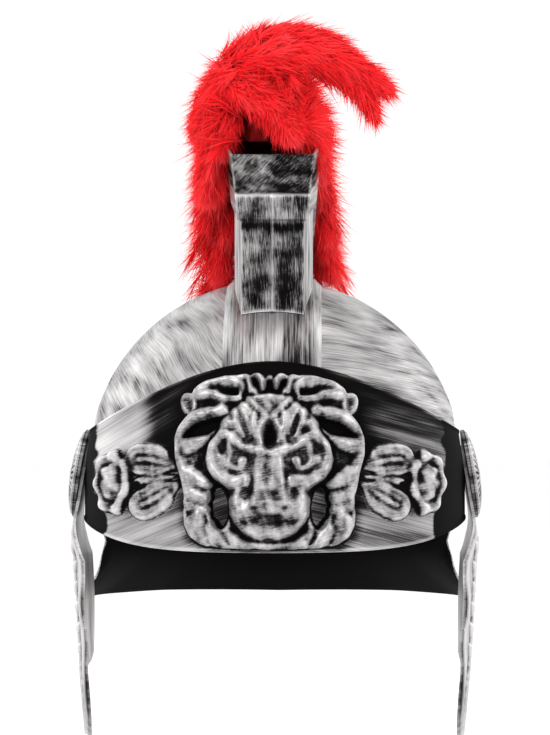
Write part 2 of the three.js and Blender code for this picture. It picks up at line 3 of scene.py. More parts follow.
import bpy
import numpy as np
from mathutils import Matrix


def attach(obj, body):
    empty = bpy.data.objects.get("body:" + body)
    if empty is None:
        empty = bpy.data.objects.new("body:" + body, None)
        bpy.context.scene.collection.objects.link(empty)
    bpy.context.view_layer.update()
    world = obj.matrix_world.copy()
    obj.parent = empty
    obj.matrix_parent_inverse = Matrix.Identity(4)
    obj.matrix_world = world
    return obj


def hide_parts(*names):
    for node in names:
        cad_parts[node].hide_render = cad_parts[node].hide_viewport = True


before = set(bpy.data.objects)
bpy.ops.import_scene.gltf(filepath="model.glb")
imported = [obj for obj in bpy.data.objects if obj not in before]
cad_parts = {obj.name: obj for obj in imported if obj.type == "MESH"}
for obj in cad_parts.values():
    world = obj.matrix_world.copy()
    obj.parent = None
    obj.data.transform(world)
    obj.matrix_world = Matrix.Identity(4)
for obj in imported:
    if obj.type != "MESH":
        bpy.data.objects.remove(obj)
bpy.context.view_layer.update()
print("frame loaded")

# Plumed legionary helmet of black moulded plastic, dry-brushed with silver, and a plume of down feathers
# Lengths are in millimetres until a mesh is made, +Z up, the front faces -Y, origin inside the crown


# Colour of an sRGB hex value in the shader's linear light
def toLinear(hexColour):
    srgb = np.array([int(hexColour[i:i + 2], 16) for i in (1, 3, 5)]) / 255
    light = np.where(srgb <= 0.04045, srgb / 12.92, ((srgb + 0.055) / 1.055) ** 2.4)
    return (*[float(c) for c in light], 1.0)


# One shader node with its settings, and its inputs as values or as sockets to link
def addNode(tree, kind, settings=None, inputs=None):
    node = tree.nodes.new(kind)
    for key, value in (settings or {}).items():
        setattr(node, key, value)
    for key, value in (inputs or {}).items():
        if isinstance(value, bpy.types.NodeSocket):
            tree.links.new(value, node.inputs[key])
        else:
            node.inputs[key].default_value = value
    return node


# Mix of two colours by a share
def mixColours(tree, share, first, second):
    return addNode(tree, "ShaderNodeMix", {"data_type": "RGBA"}, {0: share, 6: first, 7: second}).outputs[2]


# Object of some data, linked to the scene
def addObject(name, data):
    thing = bpy.data.objects.new(name, data)
    bpy.context.scene.collection.objects.link(thing)
    return thing


# Smooth ramp from 0 to 1 between two values: three squares less two cubes of the share between them
def easeStep(value, start, end):
    share = np.clip((value - start) / (end - start), 0, 1)
    return share * share * (3 - 2 * share)


# Smooth pseudo-random field on a plane: a sum of sine waves of fixed seed, between about -1 and 1
def waveField(a, b, size, seed, waves=9):
    rng = np.random.default_rng(seed)
    total = np.zeros(np.broadcast(a, b).shape)
    for _ in range(waves):
        heading, shift = rng.uniform(0, 2 * math.pi, 2)
        pace = 2 * math.pi / (size * rng.uniform(0.7, 1.6))
        total += np.sin((a * math.cos(heading) + b * math.sin(heading)) * pace + shift)
    return total / math.sqrt(waves * 2)


# Bell curve: one where the value is nought, then falling with the square of value over width
def bell(value, width):
    return np.exp(-(value / width) ** 2)


# Angles of a full turn in even steps
def fullTurn(count):
    return np.linspace(0, 2 * math.pi, count, endpoint=False)


# Grid of points from three coordinates, each stretched to the same shape
def pointGrid(x, y, z):
    return np.stack(np.broadcast_arrays(x, y, z), -1)


# Blurred copy of a grid: three running means of a window, along both axes
def blurGrid(grid, reach):
    out = grid
    for axis in (0, 1):
        for _ in range(3):
            padded = np.concatenate([np.repeat(np.take(out, [0], axis), reach + 1, axis), out,
                                     np.repeat(np.take(out, [-1], axis), reach, axis)], axis)
            total = np.cumsum(padded, axis)
            high = np.take(total, range(2 * reach + 1, total.shape[axis]), axis)
            low = np.take(total, range(0, total.shape[axis] - 2 * reach - 1), axis)
            out = (high - low) / (2 * reach + 1)
    return out


# Normals of a grid of points whose columns close to a ring: the cross product of its two differences
def gridNormals(points):
    across = (np.roll(points, -1, 1) - np.roll(points, 1, 1)) / 2
    normal = np.cross(np.gradient(points, axis=0), across)
    return normal / np.maximum(np.linalg.norm(normal, axis=2, keepdims=True), 1e-9)


# Quads between the neighbouring rows and columns of a grid of indices
def gridQuads(index):
    return np.stack([index[:-1, :-1], index[:-1, 1:], index[1:, 1:], index[1:, :-1]], -1).reshape(-1, 4)


# A patch is a grid of points with its paint values: rub is how much silver it takes, with painted shade and
# painted highlights mixed in on the brow plate and the crest box's faces; stroke is the place in millimetres
# along and across the brush. A ring closes its columns, caps close its first and last row
def makePatch(points, rubAndShade, stroke, ring=False, caps=False, flip=False):
    return {"points": points, "rubAndShade": np.broadcast_to(rubAndShade, points.shape[:2]), "stroke": stroke, "ring": ring,
            "caps": caps, "flip": flip}


# Object from patches: vertices and quads of each grid as whole arrays, caps as polygons, sharp over an angle
def buildPiece(name, patches, material, body, nodes, sharpAngle=38):
    points, rubAndShade, stroke, faces = [], [], [], []
    base = 0
    for patch in patches:
        rows, columns = patch["points"].shape[:2]
        index = base + np.arange(rows * columns).reshape(rows, columns)
        if patch["ring"]:
            index = np.concatenate([index, index[:, :1]], axis=1)
        quads = gridQuads(index)
        ends = [index[0, :columns][::-1], index[-1, :columns]] if patch["caps"] else []
        if patch["flip"]:
            quads = quads[:, ::-1]
            ends = [end[::-1] for end in ends]
        faces.extend(quads.tolist())
        faces.extend([end.tolist() for end in ends])
        points.append(patch["points"].reshape(-1, 3))
        rubAndShade.append(patch["rubAndShade"].reshape(-1))
        stroke.append(patch["stroke"].reshape(-1, 3))
        base += rows * columns
    mesh = bpy.data.meshes.new(name)
    mesh.from_pydata((np.concatenate(points) * 0.001).tolist(), [], faces)
    mesh.attributes.new("rubAndShade", "FLOAT", "POINT").data.foreach_set("value", np.concatenate(rubAndShade).astype("f"))
    flat = np.concatenate(stroke).astype("f").ravel()
    mesh.attributes.new("stroke", "FLOAT_VECTOR", "POINT").data.foreach_set("vector", flat)
    mesh.shade_smooth()
    mesh.set_sharp_from_angle(angle=math.radians(sharpAngle))
    mesh.materials.append(material)
    piece = addObject(name, mesh)
    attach(piece, body)
    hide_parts(*nodes)
    print(name, len(mesh.vertices), "points")
    return piece


# Camera, light and stage
studio = {
    "distance": 1500, "turn": 1.0, "aim": -46, "lens": 133.64, "sensor": 36,
    "floorLevel": -330, "floorReach": 7000, "floorColour": "#F7F7F7",
    "worldColour": "#FFFFFF", "worldLight": 1.06,
}


# The camera looks level from a little to the right, a white world lights evenly, and five soft boxes model
# the forms; each box is turned so that its axis meets the helmet
def makeStudio():
    cameraData = bpy.data.cameras.new("photoCamera")
    cameraData.lens = studio["lens"]
    cameraData.sensor_fit = "VERTICAL"
    cameraData.sensor_height = studio["sensor"]
    camera = addObject("photoCamera", cameraData)
    turn = math.radians(studio["turn"])
    reach = studio["distance"] * 0.001
    camera.location = (reach * math.sin(turn), -reach * math.cos(turn), studio["aim"] * 0.001)
    camera.rotation_euler = (math.pi / 2, 0, turn)
    bpy.context.scene.camera = camera
    bpy.context.scene.view_settings.view_transform = "Standard"

    world = bpy.data.worlds.new("softRoom")
    world.use_nodes = True
    room = world.node_tree.nodes["Background"]
    room.inputs["Color"].default_value = toLinear(studio["worldColour"])
    room.inputs["Strength"].default_value = studio["worldLight"]
    bpy.context.scene.world = world

    lamps = {  # place, size and power of each soft box, aimed at the helmet
        "keyBox": ((-1.3, -1.5, 1.2), (1.0, 1.0), 15),
        "fillBox": ((1.5, -1.1, 0.7), (0.9, 1.2), 7),
        "topBox": ((0.0, 0.1, 1.7), (1.2, 1.2), 9),
        "rearLeftBox": ((-1.3, 1.1, 0.5), (0.5, 1.4), 5),
        "rearRightBox": ((1.3, 1.1, 0.5), (0.5, 1.4), 5),
    }
    for name, (place, size, power) in lamps.items():
        light = bpy.data.lights.new(name, "AREA")
        light.shape = "RECTANGLE"
        light.size, light.size_y = size
        light.energy = power
        lamp = addObject(name, light)
        lamp.location = place
        aim = np.array([0, 0, -0.05]) - np.array(place)
        lamp.rotation_euler = (math.acos(-aim[2] / np.linalg.norm(aim)), 0, math.atan2(-aim[0], aim[1]))

    # Floor: a flat round card, far wider than the view
    turns = fullTurn(64)
    reach = studio["floorReach"]
    points = pointGrid(reach * np.cos(turns), reach * np.sin(turns), studio["floorLevel"]) * 0.001
    mesh = bpy.data.meshes.new("floor")
    mesh.from_pydata(points.tolist(), [], [list(range(64))])
    paper = bpy.data.materials.new("paleCard")  # matt card: a plain ground that takes one soft shadow
    paper.use_nodes = True
    surface = paper.node_tree.nodes["Principled BSDF"]
    surface.inputs["Base Color"].default_value = toLinear(studio["floorColour"])
    surface.inputs["Roughness"].default_value = 0.95
    mesh.materials.append(paper)
    floor = addObject("floor", mesh)


makeStudio()
print("camera, light and floor ready")


# Black ABS with dry-brushed silver paint: the brush leaves fine bright hairs on high places and edges,
# and black plastic shows between them and in every hollow
brushedPaint = {
    "plastic": "#070606", "silverDark": "#3C3A3A", "silver": "#C9C7C7",
    "alongPerMm": 0.03, "patchPerMm": 0.05, "gritPerMm": 3.4, "coverLevel": 0.42, "toneFrom": 0.38,
    "metal": 0.72, "bareRoughness": 0.75, "silverRoughness": 0.38, "bumpStrength": 0.22, "bumpDepth": 0.00015,
}


# Paint level: rub plus stretched noise for hairs, broad patches and fine grit, each about nought. Past one
# level it covers the plastic, over a soft edge, and more of it is brighter, more metallic and less rough. Its
# darker and brighter silver also carries the painted shade and painted highlights that a piece's rub holds
def makePaint(name, hairGain=0.6, gritGain=0.25, hairPerMm=1.3, full=1.05, edge=0.1):
    material = bpy.data.materials.new(name)
    material.use_nodes = True
    tree = material.node_tree
    surface = tree.nodes["Principled BSDF"]
    paint = brushedPaint
    rubAndShade = addNode(tree, "ShaderNodeAttribute", {"attribute_name": "rubAndShade"}).outputs["Fac"]
    stroke = addNode(tree, "ShaderNodeAttribute", {"attribute_name": "stroke"}).outputs["Vector"]
    place = addNode(tree, "ShaderNodeTexCoord").outputs["Object"]

    def scaled(vector, size):
        node = addNode(tree, "ShaderNodeVectorMath", {"operation": "MULTIPLY"}, {0: vector, 1: size})
        return node.outputs[0]

    def combine(operation, a, b):
        return addNode(tree, "ShaderNodeMath", {"operation": operation}, {0: a, 1: b}).outputs[0]

    def noise(vector, size, detail, roughness, distortion=0.0):
        return addNode(tree, "ShaderNodeTexNoise", None, {
            "Vector": scaled(vector, size), "Scale": 1.0, "Detail": detail, "Roughness": roughness,
            "Distortion": distortion}).outputs["Fac"]

    hairs = noise(stroke, (paint["alongPerMm"], hairPerMm, 0.02), 5.0, 0.68, 0.15)
    patches = noise(stroke, (paint["patchPerMm"] * 0.5, paint["patchPerMm"] * 2.4, 0.02), 2.0, 0.5)
    grit = noise(place, (1000 * paint["gritPerMm"],) * 3, 2.0, 0.6)
    spread = combine("MULTIPLY_ADD", hairs, 2.1 * hairGain)
    spread.node.inputs[2].default_value = -1.05 * hairGain
    broad = combine("MULTIPLY_ADD", patches, 1.1)
    broad.node.inputs[2].default_value = -0.55
    fine = combine("MULTIPLY_ADD", grit, gritGain)
    fine.node.inputs[2].default_value = -0.5 * gritGain
    level = combine("ADD", combine("ADD", rubAndShade, spread), combine("ADD", broad, fine))
    cover = addNode(tree, "ShaderNodeMapRange", {"interpolation_type": "SMOOTHSTEP"}, {
        "Value": level, "From Min": paint["coverLevel"] - 2 * edge,
        "From Max": paint["coverLevel"] + 2 * edge}).outputs[0]
    # Painted light: the silver's tone, from silverDark to silver, follows the level, so painted shade in the
    # rub shows as darker silver and painted highlights as brighter silver
    toneAndShade = addNode(tree, "ShaderNodeMapRange", None, {
        "Value": level, "From Min": paint["toneFrom"], "From Max": full}).outputs[0]
    silver = mixColours(tree, toneAndShade, toLinear(paint["silverDark"]), toLinear(paint["silver"]))
    colour = mixColours(tree, cover, toLinear(paint["plastic"]), silver)
    tree.links.new(colour, surface.inputs["Base Color"])
    tree.links.new(combine("MULTIPLY", cover, paint["metal"]), surface.inputs["Metallic"])
    rough = addNode(tree, "ShaderNodeMapRange", None, {
        "Value": cover, "To Min": paint["bareRoughness"], "To Max": paint["silverRoughness"]}).outputs[0]
    tree.links.new(rough, surface.inputs["Roughness"])
    surface.inputs["Specular IOR Level"].default_value = 0.03
    relief = addNode(tree, "ShaderNodeBump", None, {
        "Height": level, "Strength": paint["bumpStrength"], "Distance": paint["bumpDepth"]})
    tree.links.new(relief.outputs["Normal"], surface.inputs["Normal"])
    return material


paintedShell = makePaint("dryBrushedAbs")
paintedRelief = makePaint("dryBrushedReliefAbs", hairGain=0.46, gritGain=0.26, hairPerMm=1.9, full=1.12,
                          edge=0.14)
paintedBox = makePaint("scratchedAbs", hairGain=0.78, gritGain=0.5, hairPerMm=2.9, edge=0.12)
print("paint ready")

# Shell: an ellipsoid bowl, a skirt with cut-outs for the ears, a flared neck guard and a raised band
shell = {
    "wall": 2, "halfWidth": 102, "halfLength": 122, "rise": 102, "widest": -100, "napeDrop": 48,
    "neckDrop": 79, "neckFlare": 28, "ventRadius": 2.35, "ventAboveRim": 6, "rodFrom": 110, "rodTo": 170,
    "bandHalfWidth": 25.6, "bandSlope": 4, "bandRise": 3, "bandTail": 36,
    "seat": 101.5, "seatTilt": 9, "pivot": -105, "seatRadius": 30, "seatBlend": 8,
}
rimTurns = [0, 60, 90, 102, 108, 114, 120, 132, 150, 180]
rimDrop = [0.25, 0.31, 0.38, 0.39, 0.52, 0.79, 0.97, 0.975, 0.98, 1]
rimSideways = [0, 0, 0, 0, 0.02, 0.28, 0.88, 1, 0.68, 0]
rimBack = [0, 0, 0, 0, 0, 0.02, 0, 0.5, 0.96, 1]


# Dome grown by a distance, at a turn from the front and a level: an ellipse that narrows with the root
# of one less the squared share of the height
def domePoint(turn, level, out):
    climb = np.maximum(0, level - shell["widest"]) / (shell["rise"] + out)
    narrowing = np.sqrt(np.clip(1 - climb ** 2, 0, 1))
    x = (shell["halfWidth"] + out) * narrowing * np.sin(turn)
    y = -(shell["halfLength"] + out) * narrowing * np.cos(turn)
    return pointGrid(x, y, level)


# Level of the grown dome over a place in plan: its rise times the root of what the ellipse leaves there
def domeLevel(x, y, out):
    inside = 1 - (x / (shell["halfWidth"] + out)) ** 2 - (y / (shell["halfLength"] + out)) ** 2
    return shell["widest"] + (shell["rise"] + out) * np.sqrt(np.maximum(0, inside))


# Half-width of the tilted plane on which a rivet's layers lie: it falls by the tangent of the tilt
def seatPlane(level, out):
    tilt = math.radians(shell["seatTilt"])
    return shell["seat"] + out / math.cos(tilt) - (level - shell["pivot"]) * math.tan(tilt)


# A value of the rim by turn, on straight lines that a running mean of some degrees rounds off
def rimValue(degrees, values, reach=3):
    fine = np.arange(-190, 191)
    line = np.interp(180 - np.abs(180 - np.abs(fine)), rimTurns, values)
    kernel = np.hanning(2 * reach + 3)[1:-1]
    smooth = np.convolve(line, kernel / kernel.sum(), "same")
    return np.interp(degrees, fine, smooth)


# Stroke places on the dome: left of the band the brush ran down to the right as the eye meets it from the
# front, right of it the brush ran level with a slight fall
def domeStroke(points):
    x, y, z = points[..., 0], points[..., 1], points[..., 2] - shell["widest"]
    level = np.abs(np.arctan2(x, -y)) * 108
    right = easeStep(x, -18, 18)
    low = easeStep(-z, 20, 50)
    across = (0.77 * x + 0.64 * z) * (1 - right) + (z * 1.25 + level * 0.16) * right
    along = (0.77 * z - 0.64 * x + 0.8 * y) * (1 - right) + level * right
    across = across * (1 - low) + z * 1.3 * low
    along = along * (1 - low) + level * low
    return pointGrid(along, across + 1.2 * waveField(along, across, 60, 3), 0)


# Round vent in the neck guard behind, at a level, from a rod that is taken away. Known fault: the rod's faces
# point inwards, so the wall stays whole and only the vent's rim shows
def cutVent(piece, level):
    count = 36
    turns = fullTurn(count)
    ringX, ringZ = shell["ventRadius"] * np.cos(turns), level + shell["ventRadius"] * np.sin(turns)
    points = np.concatenate([pointGrid(ringX, y, ringZ) for y in (shell["rodFrom"], shell["rodTo"])]) * 0.001
    sides = [[i, (i + 1) % count, count + (i + 1) % count, count + i] for i in range(count)]
    ends = [list(range(count - 1, -1, -1)), list(range(count, 2 * count))]
    mesh = bpy.data.meshes.new("ventRod")
    mesh.from_pydata(points.tolist(), [], sides + ends)
    rod = addObject("ventRod", mesh)
    cut = piece.modifiers.new("vent", "BOOLEAN")
    cut.operation, cut.solver, cut.object = "DIFFERENCE", "EXACT", rod
    graph = bpy.context.evaluated_depsgraph_get()
    done = bpy.data.meshes.new_from_object(piece.evaluated_get(graph))
    piece.modifiers.clear()
    piece.data = done
    bpy.data.objects.remove(rod)


# Wall: rows of the dome, then rows of the skirt, which drops straight and flares outward with a power of the
# drop past the nape; two seats are pressed flat, and the inner rows lie a wall's thickness along the normals
def makeShell():
    turns = np.linspace(-math.pi, math.pi, 232, endpoint=False)
    degrees = np.degrees(turns)
    domeRows = np.sin(np.linspace(0.006, 1, 66) * math.pi / 2)
    levels = shell["widest"] + shell["rise"] * np.sqrt(1 - domeRows ** 2)
    dome = domePoint(turns[None, :], levels[:, None], 0)
    drop = shell["neckDrop"] * rimValue(degrees, rimDrop, 2)
    share = np.linspace(0, 1, 44)[1:, None]
    fall = drop * share
    flare = shell["neckFlare"] * (np.maximum(0, fall - shell["napeDrop"])
                                  / np.maximum(1, drop - shell["napeDrop"])) ** 1.4
    skirt = np.stack([
        shell["halfWidth"] * np.sin(turns) + np.sign(np.sin(turns)) * flare * rimValue(degrees, rimSideways),
        -shell["halfLength"] * np.cos(turns) + flare * rimValue(degrees, rimBack),
        shell["widest"] - fall,
    ], -1)
    outer = np.concatenate([dome, skirt])
    reach = np.hypot(outer[..., 1], outer[..., 2] - shell["pivot"])
    excess = np.maximum(0, np.abs(outer[..., 0]) - seatPlane(outer[..., 2], 0))
    press = excess * (1 - easeStep(reach, shell["seatRadius"], shell["seatRadius"] + shell["seatBlend"]))
    outer[..., 0] -= np.sign(outer[..., 0]) * press
    normal = gridNormals(outer)
    normal *= np.sign(np.sum(normal * outer * [1, 1, 0.3], axis=2, keepdims=True))
    inner = outer - normal * shell["wall"]
    middle = (outer[-1] + inner[-1]) / 2
    middle[:, 2] -= shell["wall"] * 0.35
    inner = inner[::-1][::3]
    inner[-1] = inner[-1] * [0.3, 0.3, 1]
    points = np.concatenate([outer, middle[None], inner])
    front = easeStep(-points[..., 1], -20, 60)
    rubAndShade = np.full(points.shape[:2], 0.78)
    rubAndShade += 0.1 * waveField(points[..., 0], points[..., 2] + points[..., 1], 45, 11)
    rubAndShade -= 0.12 * easeStep(np.abs(points[..., 0]), 60, 100) * front + 0.05 * easeStep(points[..., 0], -10, 40)
    rubAndShade[-len(inner):] = -2
    rubAndShade[len(outer)] = 0.5
    wallPatch = makePatch(points, rubAndShade, domeStroke(points), ring=True, caps=True, flip=True)

    # Band: a strip over the crown with sloped sides, carried from the front to the nape
    half = shell["bandHalfWidth"]
    top = half - shell["bandSlope"]
    across = np.array([-half, -half, -half + 0.6, -top - 0.5, -top + 0.6, *np.linspace(-top + 2, top - 2, 21),
                       top - 0.6, top + 0.5, half - 0.6, half, half])
    lift = np.array([-1, 0.05, 0.5, 2.6, 3, *[3.0] * 21, 3, 2.6, 0.5, 0.05, -1])
    angle = np.concatenate([np.linspace(0, math.pi, 150), np.full(16, math.pi)])
    below = np.concatenate([np.zeros(150), np.linspace(0, shell["bandTail"], 17)[1:]])
    fade = np.ones(166)
    fade[-3:] = [0.9, 0.6, 0.02]
    out = np.where(lift > 0, lift[None, :] * fade[:, None], lift[None, :])
    narrowing = np.sqrt(1 - (across / (shell["halfWidth"] + out)) ** 2)
    strip = pointGrid(
        across,
        -(shell["halfLength"] + out) * narrowing * np.cos(angle)[:, None],
        shell["widest"] + (shell["rise"] + out) * narrowing * np.sin(angle)[:, None] - below[:, None])
    bandStroke = pointGrid(angle[:, None] * 112 + below[:, None], strip[..., 0], 40)
    bandRub = 0.61 + 0.1 * (np.abs(strip[..., 0]) > top - 1.5)
    bandRub = bandRub + 0.08 * waveField(strip[..., 1], strip[..., 0], 40, 5)
    bandPatch = makePatch(strip, bandRub, bandStroke, ring=True, caps=True, flip=True)
    piece = buildPiece("bowl", [wallPatch, bandPatch], paintedShell, "helmet", ["shell"])
    cutVent(piece, shell["widest"] - shell["neckDrop"] + shell["ventAboveRim"])


makeShell()
print("bowl ready")

# Brow plate: a shaped sheet over the front of the bowl with a lion's head and two palmettes in relief
plate = {
    "wall": 1.6, "gap": 0.5, "topLevel": -44, "topFall": 38, "bottomLevel": -139, "bottomRise": 11,
    "tabRadius": 23, "start": 28, "end": 70, "maskLevel": -92.8, "maskAside": 0.4,
    "viewPlane": -135, "viewDistance": 1500,
}


# Place as the eye meets it from the front, in millimetres at the plane of the lion's head
def seenFrom(points):
    x, y, z = points[..., 0], points[..., 1], points[..., 2]
    turn = math.radians(studio["turn"])
    nearer = (plate["viewDistance"] + plate["viewPlane"]) / (plate["viewDistance"] + y)
    u = (x * math.cos(turn) + y * math.sin(turn)) * nearer
    u = u - plate["viewPlane"] * math.sin(turn) + plate["maskAside"]
    v = (z - studio["aim"]) * nearer - (plate["maskLevel"] - studio["aim"])
    return u, v


# Raised or sunken oval: lift times one less the squared distance, to a power
def bump(a, v, place, size, lift, lean=0.0, power=1.0):
    c, s = math.cos(math.radians(lean)), math.sin(math.radians(lean))
    da, dv = a - place[0], v - place[1]
    distance = ((da * c + dv * s) / size[0]) ** 2 + ((dv * c - da * s) / size[1]) ** 2
    return lift * np.clip(1 - distance, 0, 1) ** power


# Nearest place on a rounded line through some points: distance to the side and share of the way along
def nearLine(a, v, path):
    path = np.array(path, float)
    if len(path) > 2:
        t = np.linspace(0, len(path) - 1, 5 * len(path))
        i = np.clip(t.astype(int), 0, len(path) - 2)
        f = (t - i)[:, None]
        before, after = path[np.maximum(i - 1, 0)], path[np.minimum(i + 2, len(path) - 1)]
        p, q = path[i], path[i + 1]
        path = 0.5 * (2 * p + (q - before) * f + (2 * before - 5 * p + 4 * q - after) * f ** 2
                      + (3 * p - before - 3 * q + after) * f ** 3)
    lengths = np.concatenate([[0], np.cumsum(np.linalg.norm(np.diff(path, axis=0), axis=1))])
    best = np.full(a.shape, 1e9)
    side, share = np.zeros(a.shape), np.zeros(a.shape)
    for (x0, y0), (x1, y1), start in zip(path[:-1], path[1:], lengths[:-1]):
        dx, dy = x1 - x0, y1 - y0
        long = math.hypot(dx, dy) + 1e-9
        f = np.clip(((a - x0) * dx + (v - y0) * dy) / long ** 2, 0, 1)
        off = np.hypot(a - x0 - f * dx, v - y0 - f * dy)
        nearer = off < best
        best = np.where(nearer, off, best)
        cross = np.sign(dx * (v - y0) - dy * (a - x0))
        side = np.where(nearer, off * cross, side)
        share = np.where(nearer, (start + f * long) / lengths[-1], share)
    return side, share


# Ridge or groove along a line: lift times one less the squared distance, narrowing to its ends
def ridge(a, v, path, width, lift, power=1.2, ends=0.55):
    side, share = nearLine(a, v, path)
    taper = ends + (1 - ends) * np.sin(np.pi * np.clip(share, 0, 1)) ** 0.7
    return lift * taper * np.clip(1 - (side / (width * taper)) ** 2, 0, 1) ** power


# Rounded shoulder of a raised form: a quarter of an ellipse from its edge inwards
def shoulder(distance, reach):
    return np.sqrt(1 - (1 - np.clip(distance / reach, 0, 1)) ** 2)


# Half-widths of the face and of the mane, and the height of the face's middle, by level about its middle
faceLevels = [-41, -39, -36, -31, -26, -20, -15.8, -12.5, -9, -4.3, 0.8, 9, 12, 14.8, 18.6, 23, 26.6, 32, 34]
faceHalf = [0, 9, 14, 18.2, 20.2, 20.5, 19.6, 22.3, 27.5, 31, 32.2, 30, 27.6, 25.6, 25, 21.7, 17.9, 11.5, 0]
faceRise = [7, 7.6, 8.6, 10.2, 11, 11.2, 10.4, 9.8, 9.4, 9, 8.8, 8.6, 8.4, 8.3, 8.2, 8, 7.6, 6.6, 6]
maneLevels = [-45, -44, -42, -38, -32, -26, -17, -8, 2, 11, 17, 22, 26, 31, 35, 39, 42, 44]
maneHalf = [0, 24, 34, 40, 42.6, 43.2, 42.6, 44.5, 46.8, 47, 45, 41.5, 39.5, 40, 38, 32, 22, 0]
# Locks of the mane: their lines beside and above the middle of the head, half-width, lift and strands
maneLocks = [
    ([(22, 24.2), (31, 23), (39, 19.8), (45, 13), (46.4, 5)], 3.5, 3.4, 1),
    ([(46, 4), (40.5, 7.6), (30, 11)], 4.4, 3.2, 2),
    ([(45.8, 6), (44, -3), (41.5, -11), (37, -17)], 4.2, 3.0, 1),
    ([(43.5, -4), (37, -8.6), (28.6, -12.2)], 4.8, 3.2, 3),
    ([(43, -13), (37, -17), (28.8, -19)], 4.6, 3.0, 3),
    ([(42, -20), (36, -23.6), (30, -24.6)], 3.6, 2.6, 2),
    ([(42.4, -25), (42.2, -33), (38, -40), (29, -43.6)], 2.6, 2.6, 1),
    ([(35, -26.6), (36.6, -33), (32, -41)], 5.0, 3.6, 1),
    ([(27.6, -31), (28, -36.5), (21.5, -43)], 4.0, 3.0, 2),
    ([(20, -36.5), (15.5, -41), (9, -44)], 3.0, 2.4, 2),
    ([(37, 35.5), (28, 39), (19, 39.6), (13.6, 36.8), (14.4, 32.6)], 3.1, 3.4, 3),
    ([(38.5, 31.5), (30, 33), (22, 31), (13.5, 30.6)], 3.0, 2.8, 2),
    ([(24, 43), (15, 43), (10.6, 40.6), (9.4, 33)], 1.9, 2.8, 1),
    ([(8, 43), (4.6, 41), (2.9, 35)], 2.0, 2.8, 1),
]


# Marks of the face beside its middle line, which are added to it: ovals by place, half-sizes, lift, lean and
# power, and ridges or grooves by line, half-width, lift, power and the share of the width at their ends
faceMarks = [
    # Forehead: leaf-like folds beside the pit over the nose, and grooves out to the brows
    (ridge, [(12, 32.5), (6, 26), (0.9, 20.2)], 1.3, 1.5, 1.0, 0.8),
    (ridge, [(13.6, 31), (9.5, 26.5), (5.2, 21.5)], 1.0, -1.7, 1.0, 0.6),
    (ridge, [(6.6, 24), (7.3, 17), (6, 10.8)], 1.9, 2.1, 0.9, 0.5),
    (ridge, [(3.2, 20.5), (4.7, 15.5), (5.7, 11)], 1.0, 1.2, 1.0, 0.5),
    (ridge, [(16.4, 26.5), (13, 18.5), (9.8, 10.4)], 1.9, -1.9, 1.1, 0.4),
    (ridge, [(18.2, 27.5), (15.6, 20), (13.6, 14)], 1.8, 1.7, 1.0, 0.5),
    (bump, (18.0, 21.6), (2.2, 4.6), -1.3, 12),
    (bump, (21, 17.2), (4.6, 3.8), 1.9, -10, 0.8),
    (bump, (0, 11.6), (3.4, 7.6), -5.2, 0, 0.7),
    (bump, (0, 18), (1.7, 4.5), -2.2),
    (bump, (10.8, 9.0), (4.6, 2.2), -1.7, -35),
    # Sunken eye, the brow's edge over it, the ball, the folded outer corner and the lids
    (bump, (16, 3.0), (9.8, 5.0), -3.2, 30, 0.7),
    (ridge, [(26, 14.4), (21.7, 12.8), (17.6, 11.0), (14.8, 8.0), (11.8, 5.9), (7, 4.9), (0, 4.4)],
     2.3, 2.9, 0.8, 0.7),
    (bump, (12.6, 0.0), (4.9, 4.5), -1.6, 0, 0.6),
    (bump, (12.7, 0.3), (3.3, 3.2), 4.4, 0, 0.5),
    (bump, (18.6, 4.8), (3.0, 6.0), 2.6, 12, 0.6),
    (ridge, [(20.4, 9.0), (17.6, 7.6), (17.0, 4.4), (18.4, 0.6)], 0.8, -0.8),
    (bump, (18.9, 7.6), (1.9, 2.0), 1.0, 0, 0.8),
    (ridge, [(22.8, 3.2), (19, -1.4), (14.4, -3.4), (8.8, -2.6)], 1.7, 1.0, 1.0, 0.6),
    (ridge, [(21, -3.4), (15, -5.6), (9, -4.6)], 1.4, -1.2, 1.0, 0.5),
    (ridge, [(25.8, 12.6), (27.6, 8), (28.6, 3.4)], 1.9, 2.2, 1.0, 0.6),
    (bump, (24.4, 4.2), (2.6, 6.6), -0.8, 14),
    # Cheekbone, and the folds beside the nose
    (ridge, [(29.4, 6), (29, -2), (24.4, -7.8), (18, -10.6), (11.5, -9.4)], 4.6, 2.5, 0.8, 0.8),
    (ridge, [(11, -7.5), (13.6, -12), (18.6, -14.6)], 1.4, -1.4, 1.0, 0.5),
    (bump, (12.3, -17.5), (3.0, 6.8), -1.9, 4),
    # Nostril, the muzzle's full pad, the dark fold of the mouth, the lip and the hollow under it
    (bump, (5.9, -22.6), (1.9, 1.3), -2.2, 25, 0.8),
    (bump, (11.5, -24), (7.6, 6.2), 1.5, 15, 0.7),
    (bump, (0, -29.4), (15.5, 4.4), -1.7, 0, 1.3),
    (ridge, [(18.4, -27), (14, -33.6), (7, -36.4), (0, -36.6)], 3.4, 1.9, 0.8, 0.8),
    (bump, (0, -39.0), (4.2, 1.7), -2.0, 0, 0.7),
]


